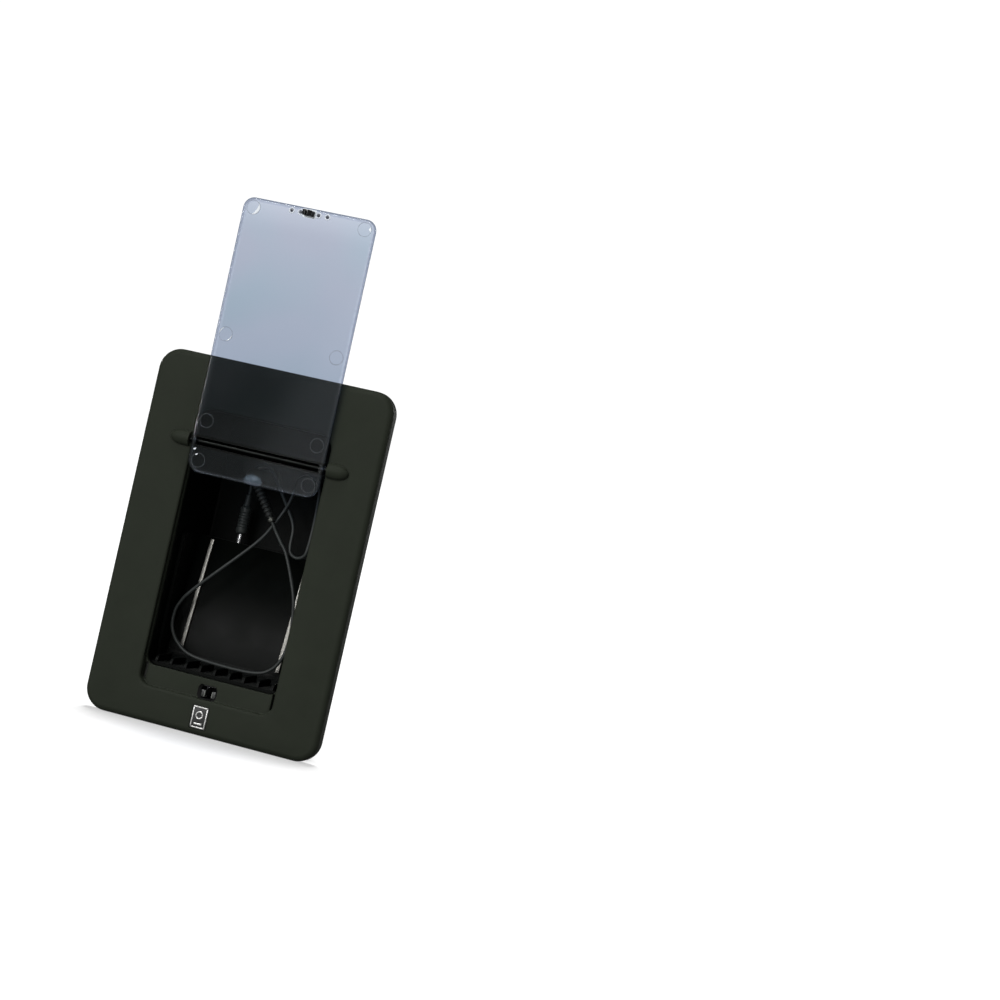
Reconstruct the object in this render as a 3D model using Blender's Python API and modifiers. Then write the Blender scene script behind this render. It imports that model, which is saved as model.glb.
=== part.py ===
"""Flush-mount enclosure for a portable music player, with its smoked flip door open.

Metres, +Z up. The bezel stands upright with its face towards -Y, and the tub reaches back
towards +Y. The origin is the middle of the bezel's back face, the plane that seats on the
panel. The door is modelled closed, in the frame of its hinge axis, and then swung open.
"""

import math

import bmesh
import bpy
from mathutils import Matrix, Vector

MILLIMETRE = 0.001

# Bezel
BEZEL_WIDTH = 0.133
BEZEL_HEIGHT = 0.197
BEZEL_THICKNESS = 0.008
BEZEL_CORNER = 0.012
BEZEL_FILLET = 0.0032
FACE_Y = -BEZEL_THICKNESS
GAP = 0.0003

# Opening: the door's recess, the ledge that it closes on, and the deep cavity
OPENING_HALF = 0.0376
RECESS_LOW = -0.0792
LEDGE_TOP = -0.0685
OPENING_TOP = 0.0703
RECESS_CORNER = 0.006
CAVITY_CORNER = 0.005
TOP_CORNER = 0.008
LEDGE_Y = FACE_Y + 0.0037

# Tub
WALL = 0.0022
TUB_BACK = 0.046
FLANGE_HALF = 0.0465
FLANGE_LOW = -0.0875
FLANGE_TOP = 0.079
FLANGE_THICKNESS = 0.0025
FLANGE_CORNER = 0.009
POCKET_MARGIN = 0.0005
POCKET_Y = -FLANGE_THICKNESS - GAP

# Hinge and door
HINGE_Z = 0.0528
HINGE_Y = FACE_Y
ROD_RADIUS = 0.0015
ROD_HALF = 0.0482
BORE_RADIUS = ROD_RADIUS + GAP
SLOT_END = ROD_HALF + 0.0004
BOSS_RADIUS = 0.004
BOSS_TIP = 0.0505
DOOR_HALF = 0.0372
DOOR_REACH = 0.1314
TAB_REACH = 0.0167
DOOR_OUTER = 0.0008
DOOR_THICKNESS = 0.0025
DOOR_INNER = DOOR_OUTER + DOOR_THICKNESS
DOOR_CORNER = 0.006
TAB_CORNER = 0.0075
BARREL_RADIUS = 0.0033
CHANNEL_RADIUS = 0.0021
CHANNEL_HALF = 0.0347
OPEN_ANGLE = math.radians(178.8)

# Latch
LATCH_Z = -0.0756
POCKET_HALF = 0.004
CAGE_HALF = 0.0065
CAGE_HALF_HEIGHT = 0.0035
CAGE_WALL = 0.001
CAGE_BACK = 0.0105
EAR_LOW = -0.0872
EAR_THICKNESS = 0.0015
JAW_PIVOT_X = 0.0043
JAW_PIVOT_Y = 0.0068
JAW_LOW = LATCH_Z - 0.0029
JAW_TOP = LATCH_Z + 0.0009
PIN_RADIUS = 0.0006
SPRING_WIRE = 0.0002

# Badge
BADGE_HALF = 0.0045
BADGE_LOW = -0.0948
BADGE_TOP = -0.0828
BADGE_THICKNESS = 0.0005

# Cradle
CRADLE_HALF = 0.0372
CRADLE_WALL = 0.0016
CRADLE_FRONT = FACE_Y + 0.0065
CRADLE_FLOOR = LEDGE_TOP + GAP
REST_FOOT = (FACE_Y + 0.026, -0.0605)
REST_TOP = (FACE_Y + 0.0372, 0.003)
WING_FRONT = FACE_Y + 0.014
FIN_COUNT = 9
FIN_PITCH = 0.0083
FIN_THICKNESS = 0.0013
FIN_TOP = -0.0631
RAIL_X = 0.028
RAIL_WIDTH = 0.0023
RAIL_THICKNESS = 0.0011
RAIL_LENGTH = 0.062

# Lead
GLAND_X = -0.010
GLAND_Z = 0.0405
GLAND_HEAD_Y = FACE_Y + 0.028
GLAND_BALL = 0.0045
GLAND_SHANK = 0.004
GLAND_FLANGE = 0.0066
GLAND_END = TUB_BACK + 0.016
GLAND_NUT_THICKNESS = 0.0035
GLAND_NUT_RADIUS = 0.0072
SOCKET_RADIUS = 0.003
SOCKET_BORE = 0.0018
SOCKET_DEPTH = 0.007
LEAD_RADIUS = 0.0009
RELIEF_AIM = Vector((0.585, 0.0, -0.811)).normalized()
RELIEF_START = 0.0048
RELIEF_END = 0.0245
RELIEF_RIBS = 7
RELIEF_TIP = 0.0017
FERRULE_LENGTH = 0.0018
HOOK_X = 0.0195
HOOK_Z = 0.041
HOOK_RADIUS = 0.0035
HOOK_FLANGE = 0.0062
HOOK_FRONT = FACE_Y + 0.0275
LEAD_POINTS = 80
PLUG_X = -0.0158
PLUG_Y = FACE_Y + 0.0435
PLUG_TOP = 0.0295

# Fasteners
SCREW_RADIUS = 0.0011
SCREW_HEAD_RADIUS = 0.0022
SCREW_HEAD = 0.0015
SCREW_HOLE = SCREW_RADIUS + GAP
TUB_SCREWS = [(side * 0.0433, z) for z in (-0.055, 0.002, 0.072) for side in (-1, 1)]
EAR_SCREWS = [(-0.0045, -0.0842), (0.0045, -0.0842)]
STUD_RADIUS = 0.002
STUD_END = 0.022
STUD_FOOT = FACE_Y + 0.004
STUD_SPOTS = [(side * 0.054, z) for z in (-0.07, 0.07) for side in (-1, 1)]
WASHER_Y = 0.012
WASHER_RADIUS = 0.0045
WASHER_THICKNESS = 0.0008
NUT_RADIUS = 0.00404
NUT_THICKNESS = 0.0032

MATERIALS = {
    "bezel_plastic": ((0.025, 0.028, 0.023), 0.55, 0.0),
    "tub_plastic": ((0.008, 0.010, 0.009), 0.4, 0.0),
    "smoked_clear": ((0.32, 0.36, 0.42), 0.08, 0.0),
    "latch_black": ((0.012, 0.012, 0.012), 0.35, 0.0),
    "jaw_acetal": ((0.35, 0.35, 0.33), 0.4, 0.0),
    "steel": ((0.55, 0.55, 0.56), 0.3, 1.0),
    "black_steel": ((0.02, 0.02, 0.02), 0.3, 1.0),
    "polished": ((0.75, 0.74, 0.72), 0.12, 1.0),
    "badge_silver": ((0.7, 0.7, 0.7), 0.3, 1.0),
    "rubber": ((0.015, 0.015, 0.015), 0.8, 0.0),
    "lead_jacket": ((0.03, 0.032, 0.03), 0.35, 0.0),
}


# ---------------------------------------------------------------- scene helpers


def clear_scene():
    for old in list(bpy.data.objects):
        bpy.data.objects.remove(old, do_unlink=True)


def new_collection(name):
    made = bpy.data.collections.new(name)
    bpy.context.scene.collection.children.link(made)
    return made


def material(name):
    found = bpy.data.materials.get(name)
    if found:
        return found
    color, roughness, metallic = MATERIALS[name]
    made = bpy.data.materials.new(name)
    made.use_nodes = True
    shader = made.node_tree.nodes["Principled BSDF"]
    shader.inputs["Base Color"].default_value = (*color, 1.0)
    shader.inputs["Roughness"].default_value = roughness
    shader.inputs["Metallic"].default_value = metallic
    return made


def part(obj, name, slot, parent=None):
    """Names an object as a sub-part, and puts it with the parts."""
    obj.name = name
    obj.data.name = name
    PARTS.objects.link(obj)
    obj.data.materials.clear()
    obj.data.materials.append(material(slot))
    if obj.type == "MESH":
        obj.data.shade_smooth()
        obj.data.set_sharp_from_angle(angle=math.radians(35))
    if parent:
        obj.parent = parent
    return obj


def cutter(obj, parent=None):
    CUTTERS.objects.link(obj)
    obj.hide_render = True
    obj.display_type = "WIRE"
    if parent:
        obj.parent = parent
    return obj


def boolean(target, other, operation="DIFFERENCE"):
    step = target.modifiers.new(operation.lower(), "BOOLEAN")
    step.operation = operation
    step.object = other
    step.solver = "EXACT"


# ---------------------------------------------------------------- shapes


def mesh_object(name, bm):
    mesh = bpy.data.meshes.new(name)
    bmesh.ops.recalc_face_normals(bm, faces=bm.faces)
    bm.to_mesh(mesh)
    bm.free()
    return bpy.data.objects.new(name, mesh)


def block(name, low, high):
    """A box between two corners."""
    bm = bmesh.new()
    bmesh.ops.create_cube(bm, size=1.0)
    low, high = Vector(low), Vector(high)
    bmesh.ops.transform(bm, matrix=Matrix.Diagonal((*(high - low), 1.0)), verts=bm.verts)
    bmesh.ops.translate(bm, vec=(low + high) / 2, verts=bm.verts)
    return mesh_object(name, bm)


def rods(name, centres, radius, low, high, axis="Y", sides=12):
    """Parallel cylinders along an axis, from low to high on it, as one mesh."""
    turn = {
        "X": Matrix.Rotation(math.pi / 2, 4, "Y"),
        "Y": Matrix.Rotation(math.pi / 2, 4, "X"),
        "Z": Matrix.Identity(4),
    }[axis]
    bm = bmesh.new()
    for first, second in centres:
        middle = (low + high) / 2
        spot = {
            "X": (middle, first, second),
            "Y": (first, middle, second),
            "Z": (first, second, middle),
        }[axis]
        bmesh.ops.create_cone(
            bm,
            cap_ends=True,
            segments=sides,
            radius1=radius,
            radius2=radius,
            depth=high - low,
            matrix=Matrix.Translation(spot) @ turn,
        )
    return mesh_object(name, bm)


def arc(centre, radius, start, end, steps):
    """Points on a circle from one angle to another, in degrees."""
    turns = [math.radians(start + (end - start) * i / steps) for i in range(steps + 1)]
    return [(centre[0] + radius * math.cos(a), centre[1] + radius * math.sin(a)) for a in turns]


def rounded(half, low, top, low_corner, top_corner, steps=6):
    """The outline of an upright rectangle with rounded corners, anticlockwise."""
    return (
        arc((half - top_corner, top - top_corner), top_corner, 0, 90, steps)
        + arc((-half + top_corner, top - top_corner), top_corner, 90, 180, steps)
        + arc((-half + low_corner, low + low_corner), low_corner, 180, 270, steps)
        + arc((half - low_corner, low + low_corner), low_corner, 270, 360, steps)
    )


def outline_curve(name, outlines, thickness):
    """A flat curve filled between its outlines and extruded both ways along its own Z.

    Blender's fill drops details much smaller than a unit, so the curve is drawn in
    millimetres, and to_mesh brings it back to metres.
    """
    data = bpy.data.curves.new(name, "CURVE")
    data.dimensions = "2D"
    data.fill_mode = "BOTH"
    data.extrude = thickness / 2 / MILLIMETRE
    for outline in outlines:
        spline = data.splines.new("POLY")
        spline.points.add(len(outline) - 1)
        for point, (a, b) in zip(spline.points, outline):
            point.co = (a / MILLIMETRE, b / MILLIMETRE, 0, 1)
        spline.use_cyclic_u = True
    return bpy.data.objects.new(name, data)


def to_mesh(curve):
    """The curve as a mesh object in the same place, with its caps welded on."""
    holder = bpy.context.scene.collection
    holder.objects.link(curve)
    bpy.context.view_layer.update()
    graph = bpy.context.evaluated_depsgraph_get()
    mesh = bpy.data.meshes.new_from_object(curve.evaluated_get(graph))
    bm = bmesh.new()
    bm.from_mesh(mesh)
    bmesh.ops.remove_doubles(bm, verts=bm.verts, dist=1e-4)
    bmesh.ops.recalc_face_normals(bm, faces=bm.faces)
    bm.to_mesh(mesh)
    bm.free()
    mesh.transform(curve.matrix_world @ Matrix.Scale(MILLIMETRE, 4))
    made = bpy.data.objects.new(curve.name, mesh)
    bpy.data.objects.remove(curve, do_unlink=True)
    return made


def plate(name, outlines, front, back):
    """An upright slab: outlines in X and Z, between two Y planes."""
    curve = outline_curve(name, outlines, back - front)
    turn = Matrix.Rotation(math.pi / 2, 4, "X")
    curve.matrix_world = Matrix.Translation((0, (front + back) / 2, 0)) @ turn
    return to_mesh(curve)


def floor_slab(name, outlines, low, high):
    """A level slab: outlines in X and Y, between two heights."""
    curve = outline_curve(name, outlines, high - low)
    curve.matrix_world = Matrix.Translation((0, 0, (low + high) / 2))
    return to_mesh(curve)


def side_slab(name, outline, left, right):
    """A slab across X: outline in Y and Z, between two X planes."""
    curve = outline_curve(name, [outline], right - left)
    turn = Matrix(((0, 0, 1, 0), (1, 0, 0, 0), (0, 1, 0, 0), (0, 0, 0, 1)))
    curve.matrix_world = Matrix.Translation(((left + right) / 2, 0, 0)) @ turn
    return to_mesh(curve)


def turned(name, profile, place, steps=16):
    """A profile of (radius, height) pairs from top to bottom, turned about its height."""
    mesh = bpy.data.meshes.new(name)
    points = [(radius, 0, height) for radius, height in profile]
    mesh.from_pydata(points, [(i, i + 1) for i in range(len(points) - 1)], [])
    obj = bpy.data.objects.new(name, mesh)
    screw = obj.modifiers.new("turn", "SCREW")
    screw.steps = steps
    screw.render_steps = steps
    screw.use_merge_vertices = True
    screw.merge_threshold = 0.00001
    obj.matrix_world = place
    return obj


def pointing(spot, direction):
    """A matrix that takes +Z to a direction at a spot."""
    return Matrix.Translation(spot) @ Vector(direction).to_track_quat("Z", "Y").to_matrix().to_4x4()


def smooth_path(route, count):
    """Evenly spaced points on a Catmull-Rom curve through the route."""
    ends = [route[0] * 2 - route[1]] + route + [route[-1] * 2 - route[-2]]
    fine = []
    for a, b, c, d in zip(ends, ends[1:], ends[2:], ends[3:]):
        for i in range(24):
            t = i / 24
            square = 2 * a - 5 * b + 4 * c - d
            cube = 3 * b - 3 * c + d - a
            fine.append(0.5 * (2 * b + (c - a) * t + square * t**2 + cube * t**3))
    fine.append(route[-1])
    reach = [0.0]
    for a, b in zip(fine, fine[1:]):
        reach.append(reach[-1] + (b - a).length)
    points = []
    index = 0
    for k in range(count):
        goal = reach[-1] * k / (count - 1)
        while index < len(fine) - 2 and reach[index + 1] < goal:
            index += 1
        share = (goal - reach[index]) / (reach[index + 1] - reach[index])
        points.append(fine[index].lerp(fine[index + 1], share))
    return points


def wire(name, points, radius, resolution=2):
    """A round tube through points, with filled ends."""
    data = bpy.data.curves.new(name, "CURVE")
    data.dimensions = "3D"
    data.bevel_depth = radius
    data.bevel_resolution = resolution
    data.use_fill_caps = True
    spline = data.splines.new("POLY")
    spline.points.add(len(points) - 1)
    for spot, point in zip(spline.points, points):
        spot.co = (*point, 1)
    return bpy.data.objects.new(name, data)


# ---------------------------------------------------------------- bezel


def front_fillet(obj, width, segments):
    """Rounds the edges that lie in the object's front plane."""
    bm = bmesh.new()
    bm.from_mesh(obj.data)
    weight = bm.edges.layers.float.new("bevel_weight_edge")
    front = min(v.co.y for v in bm.verts)
    for edge in bm.edges:
        level = all(abs(v.co.y - front) < 1e-6 for v in edge.verts)
        rim = any(abs(face.normal.y) < 0.5 for face in edge.link_faces)
        edge[weight] = 1.0 if level and rim else 0.0
    bm.to_mesh(obj.data)
    bm.free()
    bevel = obj.modifiers.new("fillet", "BEVEL")
    bevel.limit_method = "WEIGHT"
    bevel.width = width
    bevel.segments = segments


def boss(side):
    """The bullet-shaped bump over one end of the hinge rod."""
    root = OPENING_HALF - 0.002
    shoulder = 0.0435
    nose = BOSS_TIP - shoulder
    ogive = [
        (BOSS_RADIUS * math.cos(math.radians(a)), shoulder - root + nose * math.sin(math.radians(a)))
        for a in (72, 54, 36, 18)
    ]
    profile = [(0, BOSS_TIP - root)] + ogive + [(BOSS_RADIUS, shoulder - root), (BOSS_RADIUS, 0), (0, 0)]
    return turned("boss", profile, pointing((side * root, HINGE_Y, HINGE_Z), (side, 0, 0)))


def recess_outline():
    return rounded(OPENING_HALF, RECESS_LOW, OPENING_TOP, RECESS_CORNER, TOP_CORNER)


def cavity_outline():
    return rounded(OPENING_HALF, LEDGE_TOP, OPENING_TOP, CAVITY_CORNER, TOP_CORNER)


def gasket_ring(inset, width):
    """The two outlines of the panel gasket, a ring inside the bezel's rim."""
    half, height = BEZEL_WIDTH / 2 - inset, BEZEL_HEIGHT / 2 - inset
    outer_corner = BEZEL_CORNER - inset
    inner_corner = outer_corner - width
    outer = rounded(half, -height, height, outer_corner, outer_corner)
    inner = rounded(half - width, -height + width, height - width, inner_corner, inner_corner)
    return [outer, inner]


def latch_pocket_outline():
    """A flat-topped hexagon through the ledge, over the jaws."""
    half, point = CAGE_HALF_HEIGHT, 0.0009
    return [
        (POCKET_HALF, LATCH_Z - half + 0.0016),
        (POCKET_HALF, LATCH_Z + half - 0.0016),
        (POCKET_HALF - point, LATCH_Z + half),
        (-POCKET_HALF + point, LATCH_Z + half),
        (-POCKET_HALF, LATCH_Z + half - 0.0016),
        (-POCKET_HALF, LATCH_Z - half + 0.0016),
        (-POCKET_HALF + point, LATCH_Z - half),
        (POCKET_HALF - point, LATCH_Z - half),
    ]


def make_bezel():
    half, height = BEZEL_WIDTH / 2, BEZEL_HEIGHT / 2
    outline = rounded(half, -height, height, BEZEL_CORNER, BEZEL_CORNER, steps=8)
    bezel = plate("bezel", [outline], FACE_Y, 0)
    front_fillet(bezel, BEZEL_FILLET, 4)
    for side in (-1, 1):
        boolean(bezel, cutter(boss(side)), "UNION")
    reach = 0.02
    cuts = [
        plate("recess_cut", [recess_outline()], FACE_Y - reach, LEDGE_Y),
        plate("cavity_cut", [cavity_outline()], FACE_Y - reach, reach),
        plate("latch_pocket_cut", [latch_pocket_outline()], FACE_Y, reach),
        plate("flange_cut", [flange_outline(POCKET_MARGIN)], POCKET_Y, reach),
        plate("gasket_cut", gasket_ring(0.004, 0.003), -0.0018, reach),
        rods("stud_cut", STUD_SPOTS, STUD_RADIUS + GAP, STUD_FOOT, reach),
        rods("screw_cut", TUB_SCREWS + EAR_SCREWS, SCREW_HOLE, -0.0062, reach),
        block(
            "badge_cut",
            (-BADGE_HALF - GAP, FACE_Y - reach, BADGE_LOW - GAP),
            (BADGE_HALF + GAP, FACE_Y + BADGE_THICKNESS, BADGE_TOP + GAP),
        ),
    ]
    for side in (-1, 1):
        low, high = sorted((side * (OPENING_HALF - 0.002), side * SLOT_END))
        cuts.append(
            block("slot_cut", (low, HINGE_Y, HINGE_Z - BORE_RADIUS), (high, reach, HINGE_Z + BORE_RADIUS))
        )
        cuts.append(rods("bore_cut", [(HINGE_Y, HINGE_Z)], BORE_RADIUS, low, high, "X", 16))
    for cut in cuts:
        boolean(bezel, cutter(cut))
    return part(bezel, "bezel", "bezel_plastic")


def make_badge():
    face = FACE_Y - 0.0001
    badge = block(
        "badge",
        (-BADGE_HALF, face, BADGE_LOW),
        (BADGE_HALF, face + BADGE_THICKNESS - 0.0002, BADGE_TOP),
    )
    part(badge, "badge", "badge_silver")


def make_panel_gasket():
    part(plate("panel_gasket", gasket_ring(0.0043, 0.0024), -0.0015, 0), "panel_gasket", "rubber")


# ---------------------------------------------------------------- tub


def flange_outline(margin=0.0):
    return rounded(
        FLANGE_HALF + margin,
        FLANGE_LOW - margin,
        FLANGE_TOP + margin,
        FLANGE_CORNER + margin,
        FLANGE_CORNER + margin,
    )


def make_tub():
    tub = plate("tub", [flange_outline()], -FLANGE_THICKNESS, 0)
    shell = plate(
        "tub_shell",
        [
            rounded(
                OPENING_HALF + WALL,
                LEDGE_TOP - WALL,
                OPENING_TOP + WALL,
                CAVITY_CORNER + WALL,
                TOP_CORNER + WALL,
            )
        ],
        -FLANGE_THICKNESS / 2,
        TUB_BACK + WALL,
    )
    boolean(tub, cutter(shell), "UNION")
    window_half = CAGE_HALF + CAGE_WALL + GAP
    reach = 0.02
    back = (TUB_BACK - reach, TUB_BACK + reach)
    cuts = [
        plate("tub_cut", [cavity_outline()], -reach, TUB_BACK),
        block(
            "latch_window_cut",
            (-window_half, -reach, LATCH_Z - CAGE_HALF_HEIGHT - CAGE_WALL - GAP),
            (window_half, reach, LEDGE_TOP - WALL - 0.0001),
        ),
        rods("tub_screw_cut", TUB_SCREWS + EAR_SCREWS, SCREW_HOLE, -reach, reach),
        rods("gland_cut", [(GLAND_X, GLAND_Z)], GLAND_SHANK + GAP, *back, sides=16),
        rods("hook_cut", [(HOOK_X, HOOK_Z)], SCREW_HOLE, *back),
        rods("cradle_cut", cradle_screw_spots(), SCREW_HOLE, LEDGE_TOP - reach, LEDGE_TOP + reach, "Z"),
    ]
    for cut in cuts:
        boolean(tub, cutter(cut))
    part(tub, "tub", "tub_plastic")


# ---------------------------------------------------------------- hinge and door


def make_hinge():
    rod = rods("hinge_rod", [(HINGE_Y, HINGE_Z)], ROD_RADIUS, -ROD_HALF, ROD_HALF, "X", 16)
    part(rod, "hinge_rod", "black_steel")
    inset = 0.0006
    for side, name in ((-1, "hinge_keeper_left"), (1, "hinge_keeper_right")):
        low, high = sorted((side * (OPENING_HALF + inset), side * (SLOT_END - GAP)))
        keeper = block(
            name,
            (low, HINGE_Y + ROD_RADIUS + GAP, HINGE_Z - ROD_RADIUS),
            (high, POCKET_Y, HINGE_Z + ROD_RADIUS),
        )
        part(keeper, name, "tub_plastic")


def door_blank(hinge):
    """The door's slab with the hinge barrel joined on, closed, about the hinge axis."""
    outline = rounded(DOOR_HALF, -DOOR_REACH, TAB_REACH, DOOR_CORNER, TAB_CORNER)
    door = plate("door", [outline], DOOR_OUTER, DOOR_INNER)
    barrel = rods("barrel", [(0, 0)], BARREL_RADIUS, -DOOR_HALF, DOOR_HALF, "X", 24)
    boolean(door, cutter(barrel, hinge), "UNION")
    return door


def make_door(hinge):
    door = door_blank(hinge)
    reach = 0.01
    scoop = bmesh.new()
    bmesh.ops.create_uvsphere(scoop, u_segments=24, v_segments=12, radius=0.0135)
    bmesh.ops.translate(scoop, vec=(0, DOOR_OUTER - 0.0125, TAB_REACH + 0.0012), verts=scoop.verts)
    cuts = [
        rods("hub_bore_cut", [(0, 0)], BORE_RADIUS, -DOOR_HALF - reach, DOOR_HALF + reach, "X", 16),
        rods("channel_cut", [(0, 0)], CHANNEL_RADIUS, -CHANNEL_HALF, CHANNEL_HALF, "X", 16),
        block(
            "channel_slot_cut",
            (-CHANNEL_HALF, 0, -CHANNEL_RADIUS),
            (CHANNEL_HALF, reach, CHANNEL_RADIUS),
        ),
        mesh_object("scoop_cut", scoop),
        rods("hook_hole_cut", [(0, LATCH_Z - HINGE_Z)], 0.0013, 0, reach),
    ]
    for cut in cuts:
        boolean(door, cutter(cut, hinge))
    part(door, "door_panel", "smoked_clear", hinge)


def make_latch_hook(hinge):
    """The striker on the door's free end: base, neck and arrow head, seen from above."""
    base_y = DOOR_INNER + GAP
    neck = 0.0015
    shoulder = 0.0076
    outline = [
        (-0.0029, base_y),
        (0.0029, base_y),
        (0.0029, base_y + 0.0009),
        (neck, base_y + 0.0013),
        (neck, shoulder - 0.0003),
        (0.0026, shoulder),
        (0.0026, shoulder + 0.0004),
        (0.0009, shoulder + 0.0018),
        (-0.0009, shoulder + 0.0018),
        (-0.0026, shoulder + 0.0004),
        (-0.0026, shoulder),
        (-neck, shoulder - 0.0003),
        (-neck, base_y + 0.0013),
        (-0.0029, base_y + 0.0009),
    ]
    middle = LATCH_Z - HINGE_Z
    hook = floor_slab("latch_hook", [outline], middle - 0.0014, middle + 0.0014)
    rivet = rods("rivet", [(0, LATCH_Z - HINGE_Z)], 0.001, DOOR_OUTER + 0.0005, base_y + 0.0006)
    boolean(hook, cutter(rivet, hinge), "UNION")
    part(hook, "latch_hook", "latch_black", hinge)


# ---------------------------------------------------------------- latch


def make_latch_cage():
    outer_half = CAGE_HALF + CAGE_WALL
    outer_height = CAGE_HALF_HEIGHT + CAGE_WALL
    cage = block(
        "latch_cage",
        (-outer_half, -FLANGE_THICKNESS, LATCH_Z - outer_height),
        (outer_half, CAGE_BACK + CAGE_WALL, LATCH_Z + outer_height - 0.0004),
    )
    ear = block(
        "ear",
        (-outer_half, GAP, EAR_LOW),
        (outer_half, GAP + EAR_THICKNESS, LATCH_Z - CAGE_HALF_HEIGHT - CAGE_WALL / 2),
    )
    boolean(cage, cutter(ear), "UNION")
    pivots = [(-JAW_PIVOT_X, JAW_PIVOT_Y), (JAW_PIVOT_X, JAW_PIVOT_Y)]
    cuts = [
        block(
            "cage_cut",
            (-CAGE_HALF, -0.01, LATCH_Z - CAGE_HALF_HEIGHT),
            (CAGE_HALF, CAGE_BACK, LATCH_Z + CAGE_HALF_HEIGHT - 0.0004),
        ),
        rods("ear_cut", EAR_SCREWS, SCREW_HOLE, -0.01, 0.01),
        rods("pin_cut", pivots, PIN_RADIUS + GAP, LATCH_Z - 0.01, LATCH_Z + 0.01, "Z"),
    ]
    for cut in cuts:
        boolean(cage, cutter(cut))
    part(cage, "latch_cage", "latch_black")


def jaw_outlines(side):
    """A jaw from above: the lip that holds the hook, the arm, and the eye round its pin."""
    eye = 0.0018
    arm = [
        (0.0035, 0.0035),
        (0.0035, -0.0006),
        (0.0019, -0.0010),
        (0.0019, -0.0016),
        (0.0025, -0.0022),
        (0.0044, -0.0022),
        (0.0050, -0.0012),
        (0.0050, 0.0035),
    ]
    body = arc((JAW_PIVOT_X, JAW_PIVOT_Y), eye, 0, 180, 6) + arm
    hole = arc((JAW_PIVOT_X, JAW_PIVOT_Y), PIN_RADIUS + GAP, 0, 330, 11)
    return [[(side * x, y) for x, y in outline] for outline in (body, hole)]


def coil(centre, low, turns, pitch, radius):
    steps = 12
    points = []
    for i in range(int(turns * steps) + 1):
        a = 2 * math.pi * i / steps
        across = centre[0] + radius * math.cos(a)
        along = centre[1] + radius * math.sin(a)
        points.append(Vector((across, along, low + pitch * i / steps)))
    return points


def make_jaws():
    for side, word in ((-1, "left"), (1, "right")):
        pivot = (side * JAW_PIVOT_X, JAW_PIVOT_Y)
        hinge = bpy.data.objects.new("jaw_pivot_" + word, None)
        PARTS.objects.link(hinge)
        hinge.location = (*pivot, (JAW_LOW + JAW_TOP) / 2)
        bpy.context.view_layer.update()
        jaw = floor_slab("jaw", jaw_outlines(side), JAW_LOW, JAW_TOP)
        part(jaw, "latch_jaw_" + word, "jaw_acetal", hinge)
        jaw.matrix_parent_inverse = hinge.matrix_world.inverted()
        reach = CAGE_HALF_HEIGHT + CAGE_WALL
        pin = rods("pin", [pivot], PIN_RADIUS, LATCH_Z - reach, LATCH_Z + reach - 0.0004, "Z", 10)
        part(pin, "latch_pin_" + word, "steel")
        low = JAW_TOP + GAP + SPRING_WIRE
        spring = wire("spring", coil(pivot, low, 2.0, 0.00062, 0.00135), SPRING_WIRE, 1)
        part(spring, "latch_spring_" + word, "steel")


# ---------------------------------------------------------------- cradle


def cradle_screw_spots():
    return [(side * 0.0207, FACE_Y + 0.030) for side in (-1, 1)]


def rest_direction():
    return Vector((0, REST_TOP[0] - REST_FOOT[0], REST_TOP[1] - REST_FOOT[1])).normalized()


def cradle_profile():
    """The foot and the leaning backrest from the side, as one bent plate."""
    wall = CRADLE_WALL
    return [
        (CRADLE_FRONT, CRADLE_FLOOR),
        (CRADLE_FRONT + 0.0355, CRADLE_FLOOR),
        (CRADLE_FRONT + 0.0355, CRADLE_FLOOR + wall),
        (REST_FOOT[0] + wall, CRADLE_FLOOR + wall),
        (REST_FOOT[0] + wall, REST_FOOT[1]),
        (REST_TOP[0] + wall, REST_TOP[1]),
        (REST_TOP[0], REST_TOP[1]),
        (REST_FOOT[0], REST_FOOT[1]),
        (REST_FOOT[0], CRADLE_FLOOR + wall),
        (CRADLE_FRONT, CRADLE_FLOOR + wall),
    ]


def wing_profile():
    """A side wing from the side: it closes the space beside the backrest."""
    wall = CRADLE_WALL / 2
    return [
        (WING_FRONT + 0.004, CRADLE_FLOOR + wall),
        (REST_FOOT[0] + wall, CRADLE_FLOOR + wall),
        (REST_FOOT[0] + wall, REST_FOOT[1]),
        (REST_TOP[0] + wall, REST_TOP[1] - 0.0002),
        (REST_TOP[0] - 0.007, REST_TOP[1] - 0.0002),
        (WING_FRONT + 0.003, REST_TOP[1] + 0.0012),
        (WING_FRONT, REST_TOP[1] - 0.001),
        (WING_FRONT, CRADLE_FLOOR + 0.012),
    ]


def fin_profile():
    """One fin of the foot from the side: it slopes to a rounded front."""
    low = CRADLE_FLOOR + CRADLE_WALL / 2
    front = CRADLE_FRONT + 0.0009
    return [
        (front, low),
        (REST_FOOT[0] + CRADLE_WALL / 2, low),
        (REST_FOOT[0] + CRADLE_WALL / 2, FIN_TOP),
    ] + arc((front + 0.003, FIN_TOP - 0.003), 0.003, 90, 180, 5)


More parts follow.
